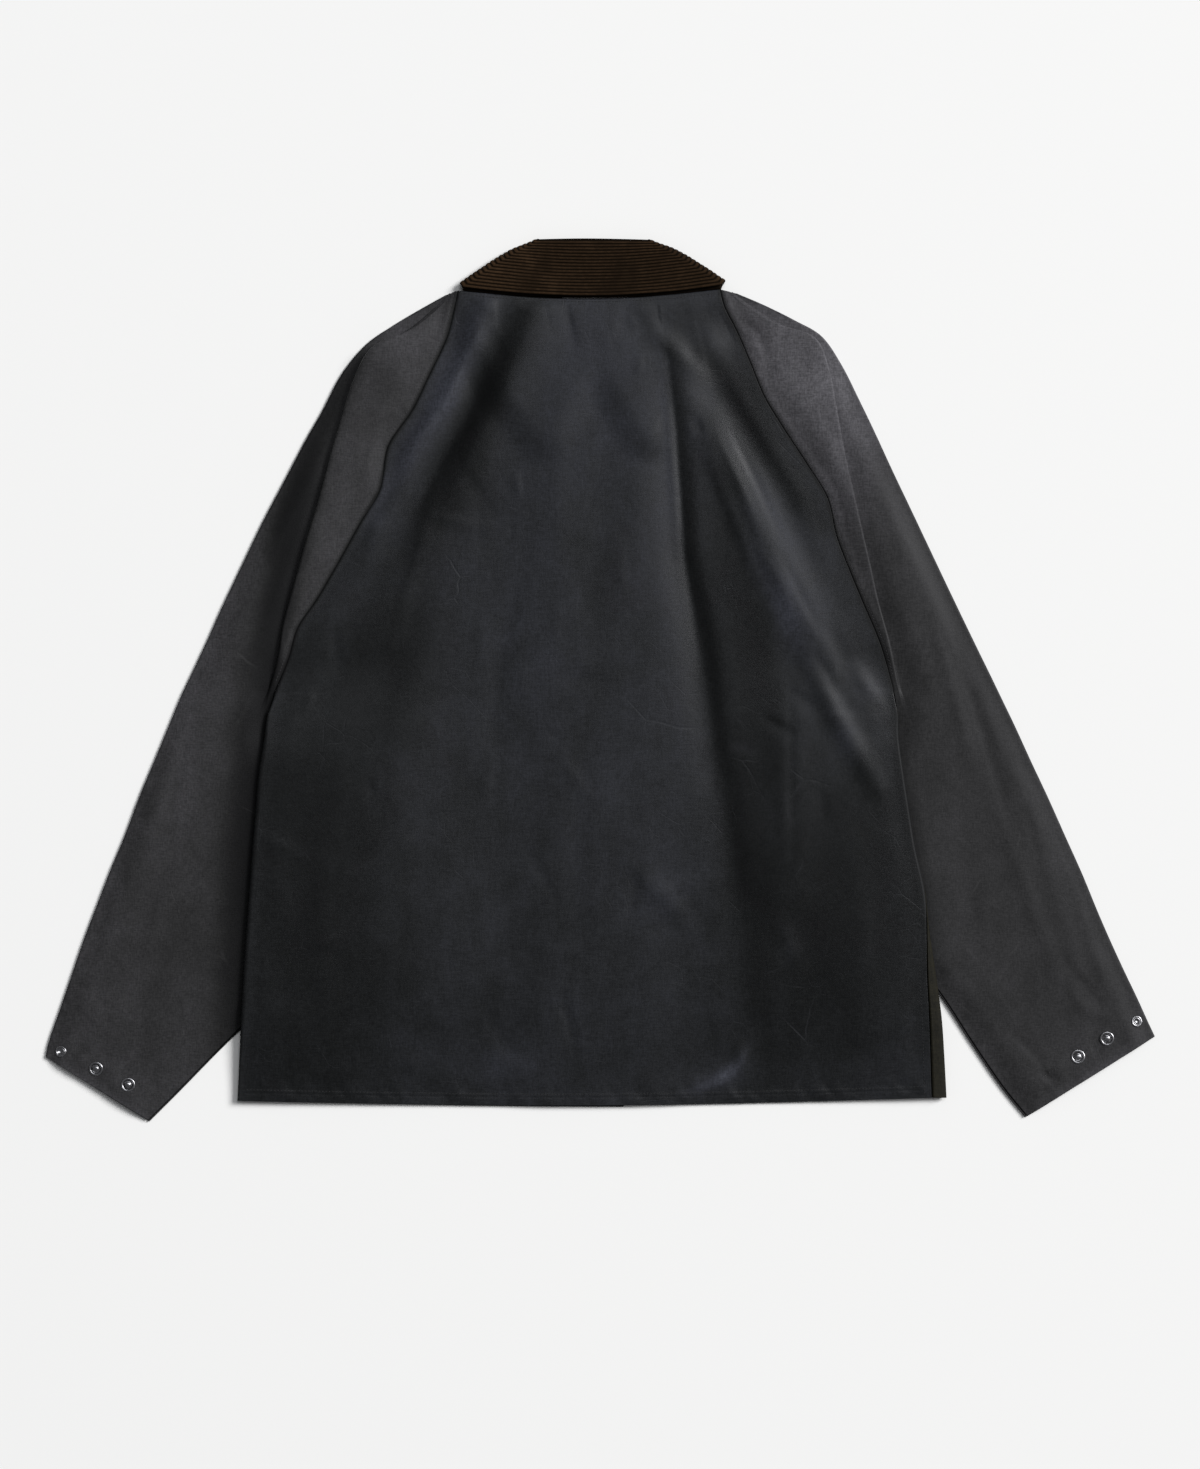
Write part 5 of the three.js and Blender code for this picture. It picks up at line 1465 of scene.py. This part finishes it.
def sewing_runs(sizes):
    """Every run of stitches: the piece it lies on, its line, pitch, thread radius and a seed."""
    pitch, radius = sizes.stitch_pitch / MM, sizes.thread_radius / MM
    get = bpy.data.objects.get
    runs = []
    for side, name, seed in ((LEFT, "sleeve_left_tube", 1), (RIGHT, "sleeve_right_tube", 2)):
        seam = follow(side.back, np.linspace(0.1, ARMPIT_ROW - 0.35, 160))
        runs.append((get(name), offset_line(seam, -STITCH_IN * side.inward), pitch, radius, seed))
        outer, under = side.arm_outer[-1], side.under[-1]
        way = unit(under - outer)
        up = np.array([-way[1], way[0]]) * side.inward
        start, end = outer + way * 4.5, under - way * 3.0
        line = np.stack([start, end]) + up * (CUFF_BAND - 2.2)
        runs.append((get(name), line, pitch, radius, seed + 4))
    back = get("back_panel")
    share = np.linspace(0.012, 0.988, 120)
    left, right = LEFT.edge[-1], RIGHT.edge[-1] - [RIGHT.wrap[-1], 0]
    x = lerp(left[0], right[0], share)
    y = lerp(left[1], right[1], share) - HEM_SAG * np.sin(np.pi * share) + HEM_BAND - 1.8
    runs.append((back, np.stack([x, y], -1), pitch, radius, 9))
    seam = follow(RIGHT.edge, np.linspace(6.6, 10, 60)) - np.stack([
        follow(RIGHT.wrap, np.linspace(6.6, 10, 60)) + 2.0, np.zeros(60),
    ], -1)
    runs.append((back, seam - [4.0, 0], pitch, radius, 10))
    share = np.linspace(0.04, 0.96, 80)
    neck = through(np.array([COLLAR[n][0] for n in ("left_corner", "back", "right_corner")], float), share)
    runs.append((back, neck - [0, 3.4], pitch, radius, 12))
    return runs


class JACKET_OT_stitching(bpy.types.Operator):
    """Build the topstitching"""

    bl_idname = "jacket.stitching"
    bl_label = "Stitching"

    def execute(self, context):
        scene = context.scene
        bpy.context.view_layer.update()
        colours, runs = scene.jacket_colours, sewing_runs(scene.jacket_sizes)
        for name, colour, slot, wanted in (
            ("body_stitching", colours.thread, "navy_waxed_cotton", runs[4:]),
            ("sleeve_stitching", colours.pale_thread, "charcoal_waxed_cotton", runs[:4]),
        ):
            finish_piece(stitch_piece(name, wanted), thread(name + " thread", colour))
        return {"FINISHED"}


def area_light(name, place, target, size, power, colour):
    """A square light at a place, turned to a target."""
    data = bpy.data.lights.new(name, "AREA")
    data.size, data.energy, data.color = size, power, colour
    light = bpy.data.objects.new(name, data)
    light.location = place
    light.rotation_euler = (Vector(target) - Vector(place)).to_track_quat("-Z", "Y").to_euler()
    bpy.context.scene.collection.objects.link(light)


class JACKET_OT_stage(bpy.types.Operator):
    """Build the floor, the lights and the camera"""

    bl_idname = "jacket.stage"
    bl_label = "Stage"

    def execute(self, context):
        scene = context.scene
        stage = scene.jacket_stage
        half = 12.0
        mesh = bpy.data.meshes.new("floor")
        mesh.from_pydata([(-half, -half, 0), (half, -half, 0), (half, half, 0), (-half, half, 0)], [], [(0, 1, 2, 3)])
        floor = bpy.data.objects.new("floor", mesh)
        scene.collection.objects.link(floor)
        shader = Shader("pale floor")
        shader.set(Base_Color=(*stage.floor_colour, 1.0), Roughness=0.9, Specular_IOR_Level=0.1)
        mesh.materials.append(shader.material)
        area_light("key", (37.0, 19.0, 34.0), (0, 0, 0), 22.4, stage.key_power, (1.0, 0.995, 0.985))
        area_light("sheen", (2.1, 6.9, 14.4), (0, 0, 0), 5.7, stage.sheen_power, (0.97, 0.985, 1.0))
        world = bpy.data.worlds.new("studio")
        scene.world = world
        world.use_nodes = True
        background = world.node_tree.nodes["Background"]
        background.inputs["Color"].default_value = (0.97, 0.985, 1.0, 1.0)
        background.inputs["Strength"].default_value = stage.world_strength
        scene.view_settings.view_transform = "Standard"
        data = bpy.data.cameras.new("camera")
        data.lens, data.sensor_width = 85.0, 36.0
        camera = bpy.data.objects.new("camera", data)
        camera.location = (-0.0002, -0.0456, stage.camera_height)
        scene.collection.objects.link(camera)
        scene.camera = camera
        return {"FINISHED"}


OPERATORS = (
    JACKET_OT_stage, JACKET_OT_back, JACKET_OT_fronts, JACKET_OT_sleeves, JACKET_OT_collar,
    JACKET_OT_studs, JACKET_OT_stitching,
)
GROUPS = (("jacket_colours", JacketColours), ("jacket_sizes", JacketSizes), ("jacket_stage", StageSettings))


class JACKET_PT_panel(bpy.types.Panel):
    """The jacket's settings and builders"""

    bl_label = "Waxed Cotton Jacket"
    bl_idname = "JACKET_PT_panel"
    bl_space_type = "VIEW_3D"
    bl_region_type = "UI"
    bl_category = "Jacket"

    def draw(self, context):
        for name, group in GROUPS:
            box = self.layout.box()
            for field in group.__annotations__:
                box.prop(getattr(context.scene, name), field)
        for operator in OPERATORS:
            self.layout.operator(operator.bl_idname)


CLASSES = tuple(group for _, group in GROUPS) + OPERATORS + (JACKET_PT_panel,)


def register():
    for item in CLASSES:
        bpy.utils.register_class(item)
    for name, group in GROUPS:
        setattr(bpy.types.Scene, name, bpy.props.PointerProperty(type=group))


def unregister():
    for name, _ in GROUPS:
        delattr(bpy.types.Scene, name)
    for item in reversed(CLASSES):
        bpy.utils.unregister_class(item)


def main():
    register()
    for operator in OPERATORS:
        group, name = operator.bl_idname.split(".")
        getattr(getattr(bpy.ops, group), name)()


if __name__ == "__main__":
    main()
